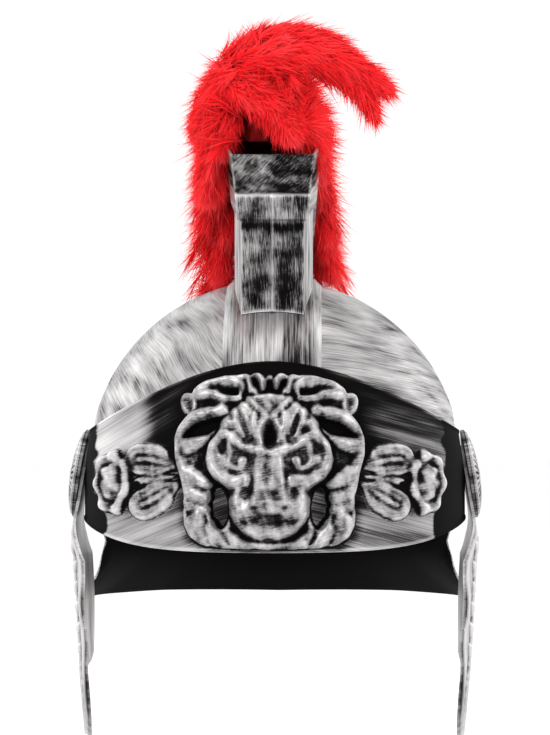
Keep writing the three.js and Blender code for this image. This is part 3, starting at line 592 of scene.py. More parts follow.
# Height of the lion's head: a mane of locks, each half a circle across with faint strands, then a pillow of a
# face with its marks, the nose, and a lip along its foot
def lionHead(u, v):
    a = np.abs(u)
    wobble = 0.5 * waveField(u, v, 14, 31)
    # Mane: a rounded sheet of soft overlapping locks, deep between them and the face
    maneEdge = np.interp(v, maneLevels, maneHalf) - a + 0.6 * wobble
    height = 3.6 * shoulder(maneEdge, 3.2) * (maneEdge > 0)
    locks = np.zeros(a.shape)
    for path, width, lift, strands in maneLocks:
        side, share = nearLine(a, v, path)
        taper = np.minimum(1, 0.6 + share * 2) * np.sqrt(np.clip(1.02 - share ** 3, 0.02, 1))
        q = side / (width * taper)
        strand = (1 + np.cos(np.pi * (2 * strands) * q)) / 2
        locks = np.maximum(locks, lift * np.sqrt(np.clip(1 - q ** 2, 0, 1)) * (1 - 0.10 * strand))
    height = height + locks * np.clip(height / 2 + 0.2, 0, 1)
    height -= bump(a, v, (33.6, 17), (10.6, 4.6), 5.4, -27, 0.5) * (1 - easeStep(locks, 1.2, 3.2))
    ear = bump(a, v, (40, 28.3), (4.5, 6.1), 7.4, -8, 0.4)
    height = np.where(ear > 4, np.maximum(ear, height * 0.6), np.maximum(ear, height))
    height -= bump(a, v, (40.2, 28), (3.2, 4.6), 4.2, -8, 0.5)
    height -= bump(u, v, (0, 40), (10.5, 7.5), 2.9, 0, 0.4) * (1 - easeStep(locks, 0.6, 2))
    height -= bump(a, v, (19.6, 33.9), (5.6, 1.7), 3.2, 3, 0.7)
    height += bump(a, v, (23.2, 26.8), (3.4, 2.6), 2.0, 10)
    height += bump(a, v, (2.7, 38.6), (1.6, 3.8), 2.4, 18, 0.8)
    height += bump(a, v, (7.4, 35.3), (2.2, 3.0), 1.8, -20, 0.8)
    height += bump(u, v, (0, 42), (2.0, 2.4), 1.8, 0, 0.8)
    # Face: a pillow with its own outline, highest at the muzzle, set down into the mane
    faceEdge = np.interp(v, faceLevels, faceHalf) - a + 0.25 * wobble
    face = np.interp(v, faceLevels, faceRise) * shoulder(faceEdge, 7.5)
    height = np.where(faceEdge > 0, np.maximum(face, height * (faceEdge < 1)), height)
    height -= bump(a, v, (25.2, -23), (5.0, 11.2), 8, -4, 0.5) * (faceEdge < 0.4)
    inFace = easeStep(faceEdge, 0, 2.5)
    triangle = 11.5 * np.clip((v - 20) / 12, 0, 1) - a  # the flat triangle of the forehead
    cut = -0.9 * easeStep(triangle, 0, 1.4)
    for shape, *values in faceMarks:
        cut += shape(a, v, *values)
    # Nose: a straight bridge with sharp sides, and a pad that narrows to the lip
    bridgeHalf = np.interp(v, [-20, -14, -2, 4, 8], [8.6, 7.8, 6.8, 6.2, 3])
    bridge = shoulder(bridgeHalf - a, 2.4) * easeStep(v, -20.8, -17.6) * (1 - easeStep(v, 1, 8))
    cut += 2.8 * bridge - bump(u, v, (-1.0, -5), (2.6, 11), 1.3)
    cut -= bump(u, v, (-0.6, -15.6), (4.6, 3.0), 1.6, 0, 0.8)
    padHalf = np.interp(v, [-26.9, -26.4, -25.2, -23.4, -21, -19.6, -19], [0, 3.2, 5.2, 6.6, 8.0, 8.4, 7.4])
    cut += 3.4 * shoulder(padHalf - a, 2.0) * easeStep(v, -27, -25.6) * (1 - easeStep(v, -20, -18.8))
    height = height + cut * inFace
    height = np.maximum(height, ridge(a, v, [(0, -42.2), (7, -41.8), (12.5, -40.6)], 1.9, 5.2, 0.5, 0.9))
    height += 0.10 * waveField(u, v, 4.5, 21) * (height > 1)
    return np.maximum(height, 0)


# Palmette beside the head: two full leaves and a thin one from one root, with rolled rims and ribs, and a
# lobed rosette at their ends
def palmettes(u, v):
    a = np.abs(u)
    height = np.zeros(a.shape)
    leaves = [  # middle line from the root, half-width, lift and ribs
        ([(45.5, -3.4), (54, -0.6), (61, 0.8), (65.6, 0.8)], 8.2, 4.6, 4),
        ([(45.5, -7.4), (56, -8.6), (66, -10.2)], 2.4, 3.0, 1),
        ([(45.5, -10.6), (54, -16), (60, -20), (64, -22)], 8.0, 4.4, 4),
    ]
    for path, width, lift, ribs in leaves:
        side, share = nearLine(a, v, path)
        end = np.array(path[-1])
        past = np.hypot(a - end[0], v - end[1]) * (share > 0.999)
        across = np.where(share > 0.999, past, np.abs(side))
        broad = width * (0.2 + 0.8 * easeStep(share, 0, 0.62))
        q = across / broad
        rolled = 0.54 + 0.14 * np.cos(np.pi * ribs * side / broad) + 0.46 * bell(q - 0.82, 0.12)
        body = lift * np.clip(1 - q ** 2, 0, 1) ** 0.4 * rolled
        height = np.maximum(height, body * (0.6 + 0.4 * share))
    da, dv = a - 79.5, v + 10.5
    heading = np.arctan2(dv, da * 1.7)
    far = np.hypot(da / 9.0, dv / 16.2) / (1 + 0.06 * np.cos(7 * heading + 0.6) + 0.03 * np.sin(3 * heading))
    disc = 3.6 * shoulder(1 - far, 0.16) - 1.2 * bell(far - 0.60, 0.08)
    disc += 0.7 * bell(far - 0.80, 0.12) * np.cos(7 * heading + 0.6)
    disc += 1.2 * np.clip(1 - (far / 0.36) ** 2, 0, 1)
    disc += 0.5 * bell(far - 0.42, 0.1) * np.cos(5 * heading + 1)
    disc += 0.35 * waveField(u, v, 6, 44)
    height = np.maximum(height, np.where(far < 1, np.maximum(disc, 0), 0))
    height += bump(a, v, (67.8, -11.6), (2.9, 3.0), 2.2, 0, 0.8)
    height -= bump(a, v, (67.2, -11.4), (1.6, 1.9), 4.4, 0, 0.8)
    return np.maximum(height, 0)


# Upper and lower edge by turn: in front they near each other with powers of the sine, and past the sides
# they follow a circle about the rivet, which is the rounded end of the tab
def plateEdges(turn):
    swing = np.abs(np.sin(turn))
    behind = np.maximum(0, -shell["halfLength"] * np.cos(turn))
    tabHalf = plate["tabRadius"] * np.sqrt(np.maximum(0.01, 1 - (behind / plate["tabRadius"]) ** 2))
    top = plate["topLevel"] - plate["topFall"] * swing ** 1.9
    bottom = plate["bottomLevel"] + plate["bottomRise"] * swing ** 5
    top = np.where(behind > 0, shell["pivot"] + tabHalf, top)
    return top, np.where(behind > 0, shell["pivot"] - tabHalf, bottom)


# Back of the plate: the dome grown by a gap, and over the band by its height too, flat at the seats
def plateBack(turn, level):
    lateral = np.abs(shell["halfWidth"] * np.sin(turn))
    out = plate["gap"] + shell["bandRise"] * (1 - easeStep(lateral, plate["start"], plate["end"]))
    points = domePoint(turn, level, out)
    points[..., 0] = np.sign(turn) * np.minimum(np.abs(points[..., 0]), seatPlane(level, 0.3))
    return points


# Grid from the lower edge up and from tab to tab: the back grown along the normals by the wall, the relief
# and a raised hem. Paint follows how each place stands out from its surroundings, and painted light follows
# which way it faces: slopes facing up and to the right are painted lighter, those facing down and to the left
# darker
def makePlate():
    half = np.concatenate([np.linspace(0, 27.5, 112)[:-1], np.linspace(27.5, 62, 66)[:-1],
                           np.linspace(62, 99, 22)])
    turns = np.radians(np.concatenate([-half[1:][::-1], half]))
    rows = 180
    top, bottom = plateEdges(turns)
    share = np.linspace(0, 1, rows)[:, None]
    level = bottom + (top - bottom) * share
    turnGrid = np.broadcast_to(turns, level.shape)
    back = plateBack(turnGrid, level)
    surface = domePoint(turnGrid, level, 0)
    normal = surface / [shell["halfWidth"] ** 2, shell["halfLength"] ** 2, 1]
    normal[..., 2] = np.maximum(0, level - shell["widest"]) / shell["rise"] ** 2
    normal /= np.linalg.norm(normal, axis=2, keepdims=True)
    u, v = seenFrom(back + normal * 4)
    relief = np.maximum(lionHead(u, v), palmettes(u, v))
    room = np.minimum(level - bottom, top - level)
    relief = blurGrid(relief, 1) * easeStep(room, 0.3, 2.2)
    hem = 0.5 * (1 - easeStep(room, 0.9, 1.7))
    front = back + normal * (plate["wall"] + relief + hem)[..., None]
    fine = relief - blurGrid(relief, 2)
    broad = relief - blurGrid(relief, 9)
    middle = relief - blurGrid(relief, 4)
    # Painted light: a slope that faces up and to the right is made brighter and one that faces down and to
    # the left darker, as if lit from the upper right
    downSlope, rightSlope = np.gradient(blurGrid(relief, 1))
    facing = np.clip(-1.1 * downSlope - 0.9 * rightSlope, -0.8, 0.8)
    # Ridge tops brighter and deep hollows darker: partly the brush catching ridges and missing hollows,
    # partly painted highlights and painted shade
    rubAndShade = 0.66 + np.clip(0.5 * fine + 0.14 * middle, -0.5, 0.17)
    rubAndShade += np.where(broad < -0.3, 0.26 * (broad + 0.3), 0) + 0.17 * facing
    mask = 1 - easeStep(np.abs(u), 46, 49)
    # Low places of the relief darker: partly bare plastic in the valleys, partly painted shade
    rubAndShade -= 0.24 * (1 - easeStep(relief, 0.8, 3.0)) * mask - 0.09 * waveField(u, v, 9, 17)
    rubAndShade += (0.30 * middle - 0.11) * (1 - mask)
    rubAndShade = np.maximum(rubAndShade, 0.34 * easeStep(relief, 2.6, 6.5))
    # The flat ground is black at the left over the head, grey at the right, and silver at the left under the
    # upper edge and along the bottom
    left = easeStep(-u, 56, 69)
    dark = easeStep(v, -6, 10) * (1 - left) * (1 - 0.55 * easeStep(u, 40, 60))
    ground = 0.72 - 0.43 * dark + 0.20 * left * easeStep(v, -6, 6) - 0.08 * easeStep(u, 20, 60)
    ground -= 0.16 * (1 - easeStep(top - level, 1.5, 7)) * (1 - easeStep(-u, 78, 88))
    # The ground is darker close to the foot of the relief: partly bare plastic the brush missed, partly
    # painted shade
    rubAndShade = np.where(relief < 0.4, ground + 0.22 * np.clip(broad + 0.2, -1.5, 0), rubAndShade)
    rubAndShade += 0.45 * hem
    ends = easeStep(np.abs(u) + 1.5 * waveField(v, u, 9, 8) + 5 * easeStep(-v, 12, 26), 88.5, 91.5)
    rubAndShade = rubAndShade * (1 - ends) - 0.8 * ends
    fall = np.where(u < 0, 0.42 + 0.2 * easeStep(v, -20, 5), 0.28)
    stroke = pointGrid(0.9 * u, v + fall * (np.sqrt(u ** 2 + 400) - 20), 80)
    fleck = pointGrid(10 * (u + 0.25 * v), v - 0.25 * u, 120)
    stroke = np.where((relief > 0.4)[..., None], fleck, stroke)
    backRows = [rows - 1, 135, 90, 45, 0]
    backPoints = back[backRows]
    topLip = (front[-1] + back[-1])[None] / 2 + [0, 0, 0.4]
    bottomLip = (front[0] + back[0])[None] / 2 - [0, 0, 0.4]
    points = np.concatenate([front, topLip, backPoints, bottomLip])
    lipRub, backRub = np.full((1, len(turns)), 0.2), np.full((len(backRows), len(turns)), -2.0)
    rubAndShadeAll = np.concatenate([rubAndShade, lipRub, backRub, 0.9 - 2 * ends[:1]])
    strokeAll = np.concatenate([stroke, stroke[-1:], stroke[backRows], stroke[:1]])
    around = makePatch(points.transpose(1, 0, 2), rubAndShadeAll.T, strokeAll.transpose(1, 0, 2), ring=True,
                       caps=True)
    buildPiece("browPlate", [around], paintedRelief, "helmet", ["brow_plate"], 60)


makePlate()
print("brow plate ready")

# Crest box: a hollow web under an open trough, with a ridge down its front and a step under its head
crest = {
    "front": -77, "length": 185, "height": 82, "wall": 2, "halfWidth": 20.5, "step": 2, "stepHeight": 1.2,
    "troughHalfWidth": 26.5, "headHeight": 35, "troughDepth": 14, "clearance": 0.4, "ridge": 1.6,
    "crease": 21.5,
}
crestAlong = [0, 0.16, 0.36, 0.58, 0.77, 0.92, 1]
crestTop = [1, 1.12, 1.16, 1.05, 0.79, 0.4, 0.08]
crestWeb = [0.8, 1, 1, 0.97, 0.9, 0.76, 0.62]
crestTrough = [0.84, 1, 1, 0.97, 0.88, 0.74, 0.6]
crestHead = [1, 1, 1, 0.94, 0.86, 0.76, 0.7]


# Smooth line through rows of a table: a cubic whose slopes are those of its neighbours
def smoothTable(at, keys, values):
    keys, values = np.array(keys, float), np.array(values, float)
    slopes = np.gradient(values, keys)
    i = np.clip(np.searchsorted(keys, at) - 1, 0, len(keys) - 2)
    span = keys[i + 1] - keys[i]
    f = np.clip((at - keys[i]) / span, 0, 1)
    return ((2 * f ** 3 - 3 * f ** 2 + 1) * values[i] + (f ** 3 - 2 * f ** 2 + f) * span * slopes[i]
            + (3 * f ** 2 - 2 * f ** 3) * values[i + 1] + (f ** 3 - f ** 2) * span * slopes[i + 1])


# Level of the crest box's foot over a place in plan: the top of the band and a small gap
def footLevel(x, y):
    return domeLevel(x, y, shell["bandRise"] + crest["clearance"])


# Section of the crest box at a share of its length: each measure is its value in front times its own table
def crestAt(along):
    top = footLevel(0.0, crest["front"]) + crest["height"] * smoothTable(along, crestAlong, crestTop)
    return {
        "y": crest["front"] + crest["length"] * along, "top": top,
        "web": crest["halfWidth"] * smoothTable(along, crestAlong, crestWeb),
        "trough": crest["troughHalfWidth"] * smoothTable(along, crestAlong, crestTrough),
        "step": top - crest["headHeight"] * smoothTable(along, crestAlong, crestHead),
    }


# Rows of points between corner points: each edge is cut evenly, with a corner kept crisp by close rows
def edgeRun(corners, counts):
    run = []
    for (start, end), count in zip(zip(corners[:-1], corners[1:]), counts):
        gap = np.linalg.norm(end - start, axis=-1, keepdims=True).max()
        inset = min(0.35 / max(gap, 0.01), 0.2)
        for f in np.concatenate([[inset], np.linspace(inset, 1 - inset, count)[1:-1], [1 - inset]]):
            run.append(start + (end - start) * f)
    return run


# Walls: at each station a ring runs along the foot, up the side with its step and crease, over the lip and
# along the floor of the trough, then back down; two faces close the ends
def makeCrest():
    stations = np.concatenate([[0, 0.002], np.linspace(0.008, 0.992, 84), [0.998, 1]])
    at = crestAt(stations)
    y = at["y"]

    def corner(x, z):
        return pointGrid(x, y, z)

    foot = [corner(s * at["web"], footLevel(s * at["web"], y)) for s in (-1, -0.5, 0, 0.5, 1)]
    headHalf = at["web"] + crest["step"]
    creaseLevel = at["top"] - crest["crease"] * (at["top"] - at["step"]) / crest["headHeight"]
    creaseHalf = headHalf + (at["trough"] - headHalf) * 0.3
    floor = at["top"] - crest["troughDepth"]
    lip = at["trough"] - crest["wall"]
    base = headHalf + (at["trough"] - headHalf) * 0.62 - crest["wall"]
    side = [corner(at["web"], at["step"]), corner(headHalf, at["step"] + crest["stepHeight"]),
            corner(creaseHalf, creaseLevel), corner(at["trough"], at["top"])]
    inside = [corner(lip, at["top"]), corner(base, floor)]
    mirrored = [p * [-1, 1, 1] for p in inside[::-1] + side[::-1]]
    ringPoints = edgeRun(foot + side + inside + mirrored + [foot[0]],
                         [4, 4, 4, 4, 26, 4, 12, 14, 4, 10, 16, 10, 4, 14, 12, 4, 26])
    rings = np.stack(ringPoints, 1)
    x, rowY, z = rings[..., 0], rings[..., 1], rings[..., 2]
    edgeNear = np.minimum(np.abs(z - at["top"][:, None]), np.abs(z - creaseLevel[:, None]))
    head = z > at["step"][:, None] + 0.5
    rubAndShade = 0.62 + 0.25 * bell(edgeNear, 0.8) + np.where(head, -0.10, 0.08)
    rubAndShade = rubAndShade + 0.5 * bell(z - footLevel(x, rowY), 0.9)
    innerTrough = (np.abs(x) < at["trough"][:, None] - 1.4) & (z > floor[:, None] - 0.5)
    rubAndShade = np.where(innerTrough, -0.6, rubAndShade)
    headStroke = pointGrid(rowY * 0.8 + z * 0.3, z - rowY * 0.2, 20)
    stroke = np.where(head[..., None], headStroke, pointGrid(z, rowY, 30))
    walls = makePatch(rings, rubAndShade, stroke, ring=True)

    # Front and rear faces: a sheet across the section, with a shallow ridge down the middle of the web. Their
    # paint is bright along the crease, the ridge, the sides and the foot, with a painted shadow just under
    # the step
    def endFace(i, outward):
        foot, step, crease, top = footLevel(0.0, y[i]), at["step"][i], creaseLevel[i], at["top"][i]
        stepHead = step + crest["stepHeight"]
        lower = foot + (step - foot) * np.linspace(0, 1, 46)
        upper = np.array([step + 0.01, *np.linspace(stepHead, crease, 10), *np.linspace(crease, top, 16)[1:]])
        underCrease = headHalf[i] + (creaseHalf[i] - headHalf[i]) * (upper - stepHead) / (crease - stepHead)
        overCrease = creaseHalf[i] + (at["trough"][i] - creaseHalf[i]) * (upper - crease) / (top - crease)
        upHalf = np.where(upper < crease, underCrease, overCrease)
        upHalf[0] = at["web"][i]
        level = np.concatenate([lower, upper])[:, None]
        share = np.linspace(-1, 1, 61)
        gx = np.concatenate([np.full(lower.shape, at["web"][i]), upHalf])[:, None] * share
        gz = level + (footLevel(gx, y[i]) - foot) * np.clip(1 - (level - foot) / 12, 0, 1)
        within = np.clip((1 - np.abs(share)) * 30, 0, 1)  # nought at the face's two side edges
        spine = crest["ridge"] * np.clip(1 - np.abs(gx) / 1.6, 0, 1) * (level < crease)
        bulge = 1.1 * (level >= step + 1.1) * within
        crisp = 0.6 * bell(level - crease, 1.0) * within
        points = pointGrid(gx, y[i] + outward * (spine + bulge + crisp), gz)
        head = level > crease
        # Painted shadow: a dark band just under the step, where the head overhangs the web
        under = bell(level - step + 2.6 + 0.8 * np.sin(gx / 5), 2.2)
        toneAndShade = 0.57 + 0.35 * bell(level - crease, 0.7) - 0.34 * under
        toneAndShade = toneAndShade + 0.34 * bell(gx, 0.55) * ~head - 0.12 * easeStep(gx, 0, 6) * ~head
        toneAndShade = toneAndShade + 0.22 * (np.abs(share) > 0.94) - head * (0.10 + 0.16 * easeStep(gx, -4, 4))
        toneAndShade = toneAndShade - 0.16 * (1 - easeStep(level - foot, 4, 40)) * (1 - bell(gx, 3)) * ~head
        toneAndShade = toneAndShade + 0.6 * bell(level - foot, 1.0)
        place = pointGrid(4.2 * gz, gx * 0.8 + 0.03 * gz, 60)
        headPlace = pointGrid(7 * (gx * 0.5 + gz), gz * 0.7 - gx * 0.7, 60)
        return makePatch(points, toneAndShade, np.where(head[..., None], headPlace, place), flip=outward > 0)

    patches = [walls, endFace(0, -1), endFace(len(y) - 1, 1)]
    buildPiece("crestBox", patches, paintedBox, "helmet", ["crest_box"], 30)


makeCrest()
print("crest box ready")

# Bosses: low domed buttons with slanting flutes between two rings and a small rosette, each on a rivet
button = {
    "radius": 24.3, "height": 6.3, "edge": 1.6, "flutes": 36, "peg": 2.5, "pegHead": 5, "gaps": 0.9,
    "innerRing": 7.4, "outerRing": 22.2,
}


# Height over the radius: a flattened dome, flutes as the size of a slanting cosine, two rings as bells, and a
# rosette of six petals. It is turned to lie across the rivet's tilted axis, and its peg reaches into the bowl
def makeButton(name, node, side):
    turns = fullTurn(220)[None, :]
    r = np.concatenate([np.linspace(0.2, 14, 26), np.linspace(14.4, button["radius"], 36)])[:, None]
    dome = np.clip(1 - (r / button["radius"]) ** 2, 0, 1) ** 0.7
    fluted = easeStep(r, 8.5, 10) * (1 - easeStep(r, 20, 21.5))
    height = button["edge"] + (button["height"] - button["edge"]) * dome
    height = height + 0.5 * np.abs(np.cos(button["flutes"] / 2 * turns + 0.12 * r)) * fluted
    height += 0.7 * bell(r - button["innerRing"], 0.7) + 0.6 * bell(r - button["outerRing"], 0.7)
    height += 0.5 * np.abs(np.cos(3 * turns)) * easeStep(r, 1, 3) * (1 - easeStep(r, 5, 6.4))
    face = pointGrid(r * np.cos(turns), r * np.sin(turns), height)
    peg, pegHead = button["peg"], button["pegHead"]
    backR = np.array([24.3, 24.3, 22, 12, 4, peg, peg, pegHead, pegHead, 4.2, 0.4])[:, None]
    backHeight = np.array([1.2, 0, 0, 0, 0, 0, -7.0, -7.0, -8.0, -8.5, -8.6])[:, None]
    local = np.concatenate([face, pointGrid(backR * np.cos(turns), backR * np.sin(turns), backHeight)])
    tilt = math.radians(shell["seatTilt"])
    axis = np.array([side * math.cos(tilt), 0, math.sin(tilt)])
    upward = np.array([-side * math.sin(tilt), 0, math.cos(tilt)])
    along = np.array([0.0, 1.0, 0.0])
    base = button["gaps"] + plate["wall"] + guard["wall"]
    hub = side * (shell["seat"] + base * math.cos(tilt)), 0, shell["pivot"] + base * math.sin(tilt)
    points = hub + local[..., :1] * along + local[..., 1:2] * upward + local[..., 2:] * axis
    rubAndShade = 0.79 + 1.3 * (height - blurGrid(height, 2)) - 0.2 * bell(r - 15, 5)
    rubAndShadeAll = np.concatenate([rubAndShade, np.full((len(backR), turns.shape[1]), 0.6)])
    rubAndShadeAll[-6:] = -1
    stroke = pointGrid(local[..., 0], local[..., 1], 10)
    patch = makePatch(points, rubAndShadeAll, stroke, ring=True, caps=True, flip=side < 0)
    buildPiece(name, [patch], paintedRelief, "helmet", [node], 50)


# Cheek guards: flat tabs under the bosses, then plates cut to a pointed outline with raised ornament. The
# tables give both edges as shares of the half-width, and how far the plate stands off the tab's plane
guard = {
    "wall": 1.6, "length": 156, "halfWidth": 37, "bow": 5.5, "tabTop": 16, "lean": 6.4, "gaps": 0.6,
    "rearRoom": 0.9, "leafPairs": 6, "beads": 4,
}
guardDown = [0, 0.02, 0.06, 0.11, 0.17, 0.225, 0.26, 0.32, 0.39, 0.46, 0.53, 0.58, 0.63, 0.69, 0.74, 0.77,
             0.79, 0.86, 0.94, 1]
guardFront = [-0.1, -0.28, -0.4, -0.45, -0.48, -0.56, -0.72, -0.95, -1.05, -1, -0.86, -0.84, -0.98, -0.97,
              -0.86, -0.82, -0.81, -0.84, -0.82, -0.72]
guardRear = [0.1, 0.28, 0.4, 0.45, 0.48, 0.56, 0.7, 0.86, 0.94, 0.95, 0.94, 0.91, 0.87, 0.8, 0.7, 0.5, 0,
             -0.18, -0.36, -0.58]
guardStand = [0, 0, 0, 0, 0, 0, 0.12, 0.6, 1, 1, 1, 1, 1, 1, 1, 1, 1, 1, 1, 1]


# Grid from the tab down and from the front edge to the rear one. Its back leaves the tab's plane for an
# upright one that leans in with a power of the way down and bows in with the square of the place across
def makeGuard(name, node, side):
    down = np.unique(np.concatenate([np.linspace(0, 0.05, 10), np.linspace(0.05, 0.76, 140),
                                     np.linspace(0.76, 0.80, 16), np.linspace(0.80, 1, 44)]))[:, None]
    level = shell["pivot"] + guard["tabTop"] - guard["length"] * down
    front = guard["halfWidth"] * np.interp(down, guardDown, guardFront)
    rear = guard["halfWidth"] * np.interp(down, guardDown, guardRear)
    stand = np.interp(down, guardDown, guardStand)
    y = front + (rear - front) * np.linspace(0, 1, 66)[None, :]
    stack = guard["gaps"] + plate["wall"]
    flat = seatPlane(level, stack)
    upright = seatPlane(shell["pivot"] - plate["tabRadius"] - 2, stack)
    lean = guard["lean"] * np.maximum(0, (down - 0.3) / 0.7) ** 1.3
    inside = flat + (upright - lean - guard["bow"] * (y / guard["halfWidth"]) ** 2 - flat) * stand
    # The rear edge stands out a little more, to clear the bowl when the guard is swung back
    inside = inside + guard["rearRoom"] * easeStep(y, 22, 34) * stand
    edge = np.minimum(np.minimum(y - front, rear - y), guard["length"] * (1 - down))
    under = guard["length"] * down + 0 * y
    # Ornament: a rolled rim and a line inside it, a stem with paired leaves, and beads down the point
    rim = 1.5 * np.sqrt(np.clip(1 - ((edge - 2.0) / 1.7) ** 2, 0, 1))
    off = y - (front + rear) / 2
    leaves = np.zeros(y.shape)
    for k in range(guard["leafPairs"]):
        for way in (-1, 1):
            place = (9.5 - 0.5 * k, -(56 + 11 * k))
            leaves = np.maximum(leaves, bump(off * way, -under, place, (8.5 - 0.6 * k, 3.4), 2.4, 34, 0.6))
    stem = 2.2 * np.sqrt(np.clip(1 - (off / 1.8) ** 2, 0, 1)) * easeStep(under, 46, 50)
    beads = np.zeros(y.shape)
    for k in range(guard["beads"]):
        bead = bump(off, -under, (0, -(128 + 6.5 * k)), (2.9 - 0.45 * k, 2.6), 2.0, 0, 0.5)
        beads = np.maximum(beads, bead)
    inner = 0.8 * np.sqrt(np.clip(1 - ((edge - 5.6) / 0.8) ** 2, 0, 1)) * (1 - easeStep(under, 112, 116))
    leaves, beads = leaves * easeStep(edge, 4.5, 7), beads * easeStep(edge, 1.5, 3)
    ornament = np.maximum.reduce([rim, leaves, stem, beads, inner])
    ornament = ornament * easeStep(under, 41, 46) * easeStep(edge, 0.0, 0.5)
    outer = pointGrid(side * (inside + guard["wall"] + ornament), y, level)
    hidden = pointGrid(side * inside, y, level)[:, [65, 48, 32, 16, 0]]
    points = np.concatenate([outer, hidden], axis=1)
    rubAndShade = 0.86 + 0.5 * (ornament - blurGrid(ornament, 2)) + 0.05 * ornament
    rubAndShade = np.concatenate([rubAndShade, np.full((len(down), 5), 0.84)], axis=1)
    local = pointGrid(points[..., 2], points[..., 1], 50)
    patch = makePatch(points, rubAndShade, local, ring=True, caps=True, flip=side < 0)
    buildPiece(name, [patch], paintedRelief, "cheek_" + name[5:].lower(), [node], 50)


for word, side in (("Left", -1), ("Right", 1)):
    makeButton("boss" + word, "boss_" + word.lower(), side)
    makeGuard("cheek" + word, "cheek_guard_" + word.lower(), side)
print("bosses and cheek guards ready")

# Plume: a run of dyed down feathers in the trough, whose front end falls over to one side
plume = {
    "colourShadeDeep": "#7E090C", "colour": "#FA1D25", "colourTipHighlight": "#FF4C50",
    "wide": [35, 36, 38, 42, 48, 54, 56], "tall": [56, 54, 52, 48, 44, 42, 40],
    "lean": -9, "barbHalf": 0.28, "barbs": 92, "spread": 0.30,
}
# Locks of the front end, and two that fall beside the trough near the nape: places on their middle line with
# the half-thickness there, then how many tufts, and how long they are
plumeLocks = {
    "plumeCurl": ([(-30, -58, 99, 12), (-19, -58, 114, 17), (2, -58, 123, 17), (21, -58, 122, 12),
                   (36, -58, 117, 7), (46, -58, 111, 2)], 320, 27),
    "plumeCurlTip": ([(14, -56, 114, 7), (30, -56, 113, 6), (42, -57, 107, 4), (47, -58, 99, 1.5)], 84, 22),
    "plumeShoulder": ([(-4, -56, 118, 15), (-20, -56, 111, 14), (-30, -56, 101, 10), (-34, -56, 92, 6)],
                      180, 22),
    "plumeSide": ([(-22, -52, 104, 11), (-27, -50, 88, 10), (-30, -48, 72, 8), (-33, -46, 58, 6)], 150, 22),
    "plumeSweep": ([(-24, -62, 106, 12), (-12, -66, 99, 12), (-2, -71, 91, 9), (4, -76, 83, 3)], 190, 20),
    "plumeColumn": ([(4, -60, 112, 11), (6, -62, 101, 8), (8, -68, 91, 7), (10, -75, 84, 3)], 140, 17),
    "plumeRim": ([(-17, -62, 90, 7), (-22, -64, 81, 6), (-24, -64, 74, 3)], 60, 14),
    "plumeRimRight": ([(13, -62, 92, 7), (18, -63, 83, 5), (21, -62, 74, 3)], 56, 13),
    "plumeFallLeft": ([(-25, 62, 52, 8), (-28, 66, 40, 8), (-30, 71, 27, 7), (-32, 75, 15, 4)], 90, 18),
    "plumeFallRight": ([(22, 60, 50, 7), (25, 66, 38, 7), (28, 71, 25, 6), (30, 75, 15, 3)], 70, 17),
    "plumeWisps": ([(-30, -56, 112, 14), (-10, -56, 128, 10), (12, -56, 131, 8), (30, -56, 124, 6)], 56, 28),
}


# Dyed marabou down: matt, soft hairs, with a painted glow towards their tips and painted shade deep in the
# mass
def makeFeatherMaterial():
    material = bpy.data.materials.new("dyedDown")
    material.use_nodes = True
    tree = material.node_tree
    surface = tree.nodes["Principled BSDF"]
    paintedShadeDepth = addNode(tree, "ShaderNodeAttribute", {"attribute_name": "paintedShadeDepth"}).outputs["Fac"]
    low = addNode(tree, "ShaderNodeMapRange", None, {"Value": paintedShadeDepth, "From Max": 0.45}).outputs[0]
    high = addNode(tree, "ShaderNodeMapRange", None, {"Value": paintedShadeDepth, "From Min": 0.45}).outputs[0]
    first = mixColours(tree, low, toLinear(plume["colourShadeDeep"]), toLinear(plume["colour"]))
    colour = mixColours(tree, high, first, toLinear(plume["colourTipHighlight"]))
    tree.links.new(colour, surface.inputs["Base Color"])
    surface.inputs["Roughness"].default_value = 0.85
    surface.inputs["Specular IOR Level"].default_value = 0.15
    surface.inputs["Sheen Weight"].default_value = 0.25
    surface.inputs["Sheen Tint"].default_value = toLinear("#FF5A55")
    return material


dyedDown = makeFeatherMaterial()


# Unit vectors along the last axis
def unit(vectors):
    return vectors / np.maximum(np.linalg.norm(vectors, axis=-1, keepdims=True), 1e-9)


# Object from plain arrays of points, quads and triangles, with a painted shade value for each point by how
# deep in the down it lies
def downMesh(name, points, quads, ends, paintedShadeDepth):
    mesh = bpy.data.meshes.new(name)
    mesh.vertices.add(len(points))
    mesh.vertices.foreach_set("co", (points * 0.001).astype("f").ravel())
    corners = np.concatenate([quads.ravel(), ends.ravel()]).astype("i")
    sizes = np.concatenate([np.full(len(quads), 4), np.full(len(ends), 3)])
    mesh.loops.add(len(corners))
    mesh.loops.foreach_set("vertex_index", corners)
    mesh.polygons.add(len(sizes))
    mesh.polygons.foreach_set("loop_start", (np.cumsum(sizes) - sizes).astype("i"))
    mesh.update(calc_edges=True)
    shade = np.clip(paintedShadeDepth, 0, 1).ravel().astype("f")
    mesh.attributes.new("paintedShadeDepth", "FLOAT", "POINT").data.foreach_set("value", shade)
    mesh.shade_smooth()
    mesh.materials.append(dyedDown)
    piece = addObject(name, mesh)
    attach(piece, "helmet")
    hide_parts("plume")
    print(name, 2 * len(quads) + len(ends), "triangles")


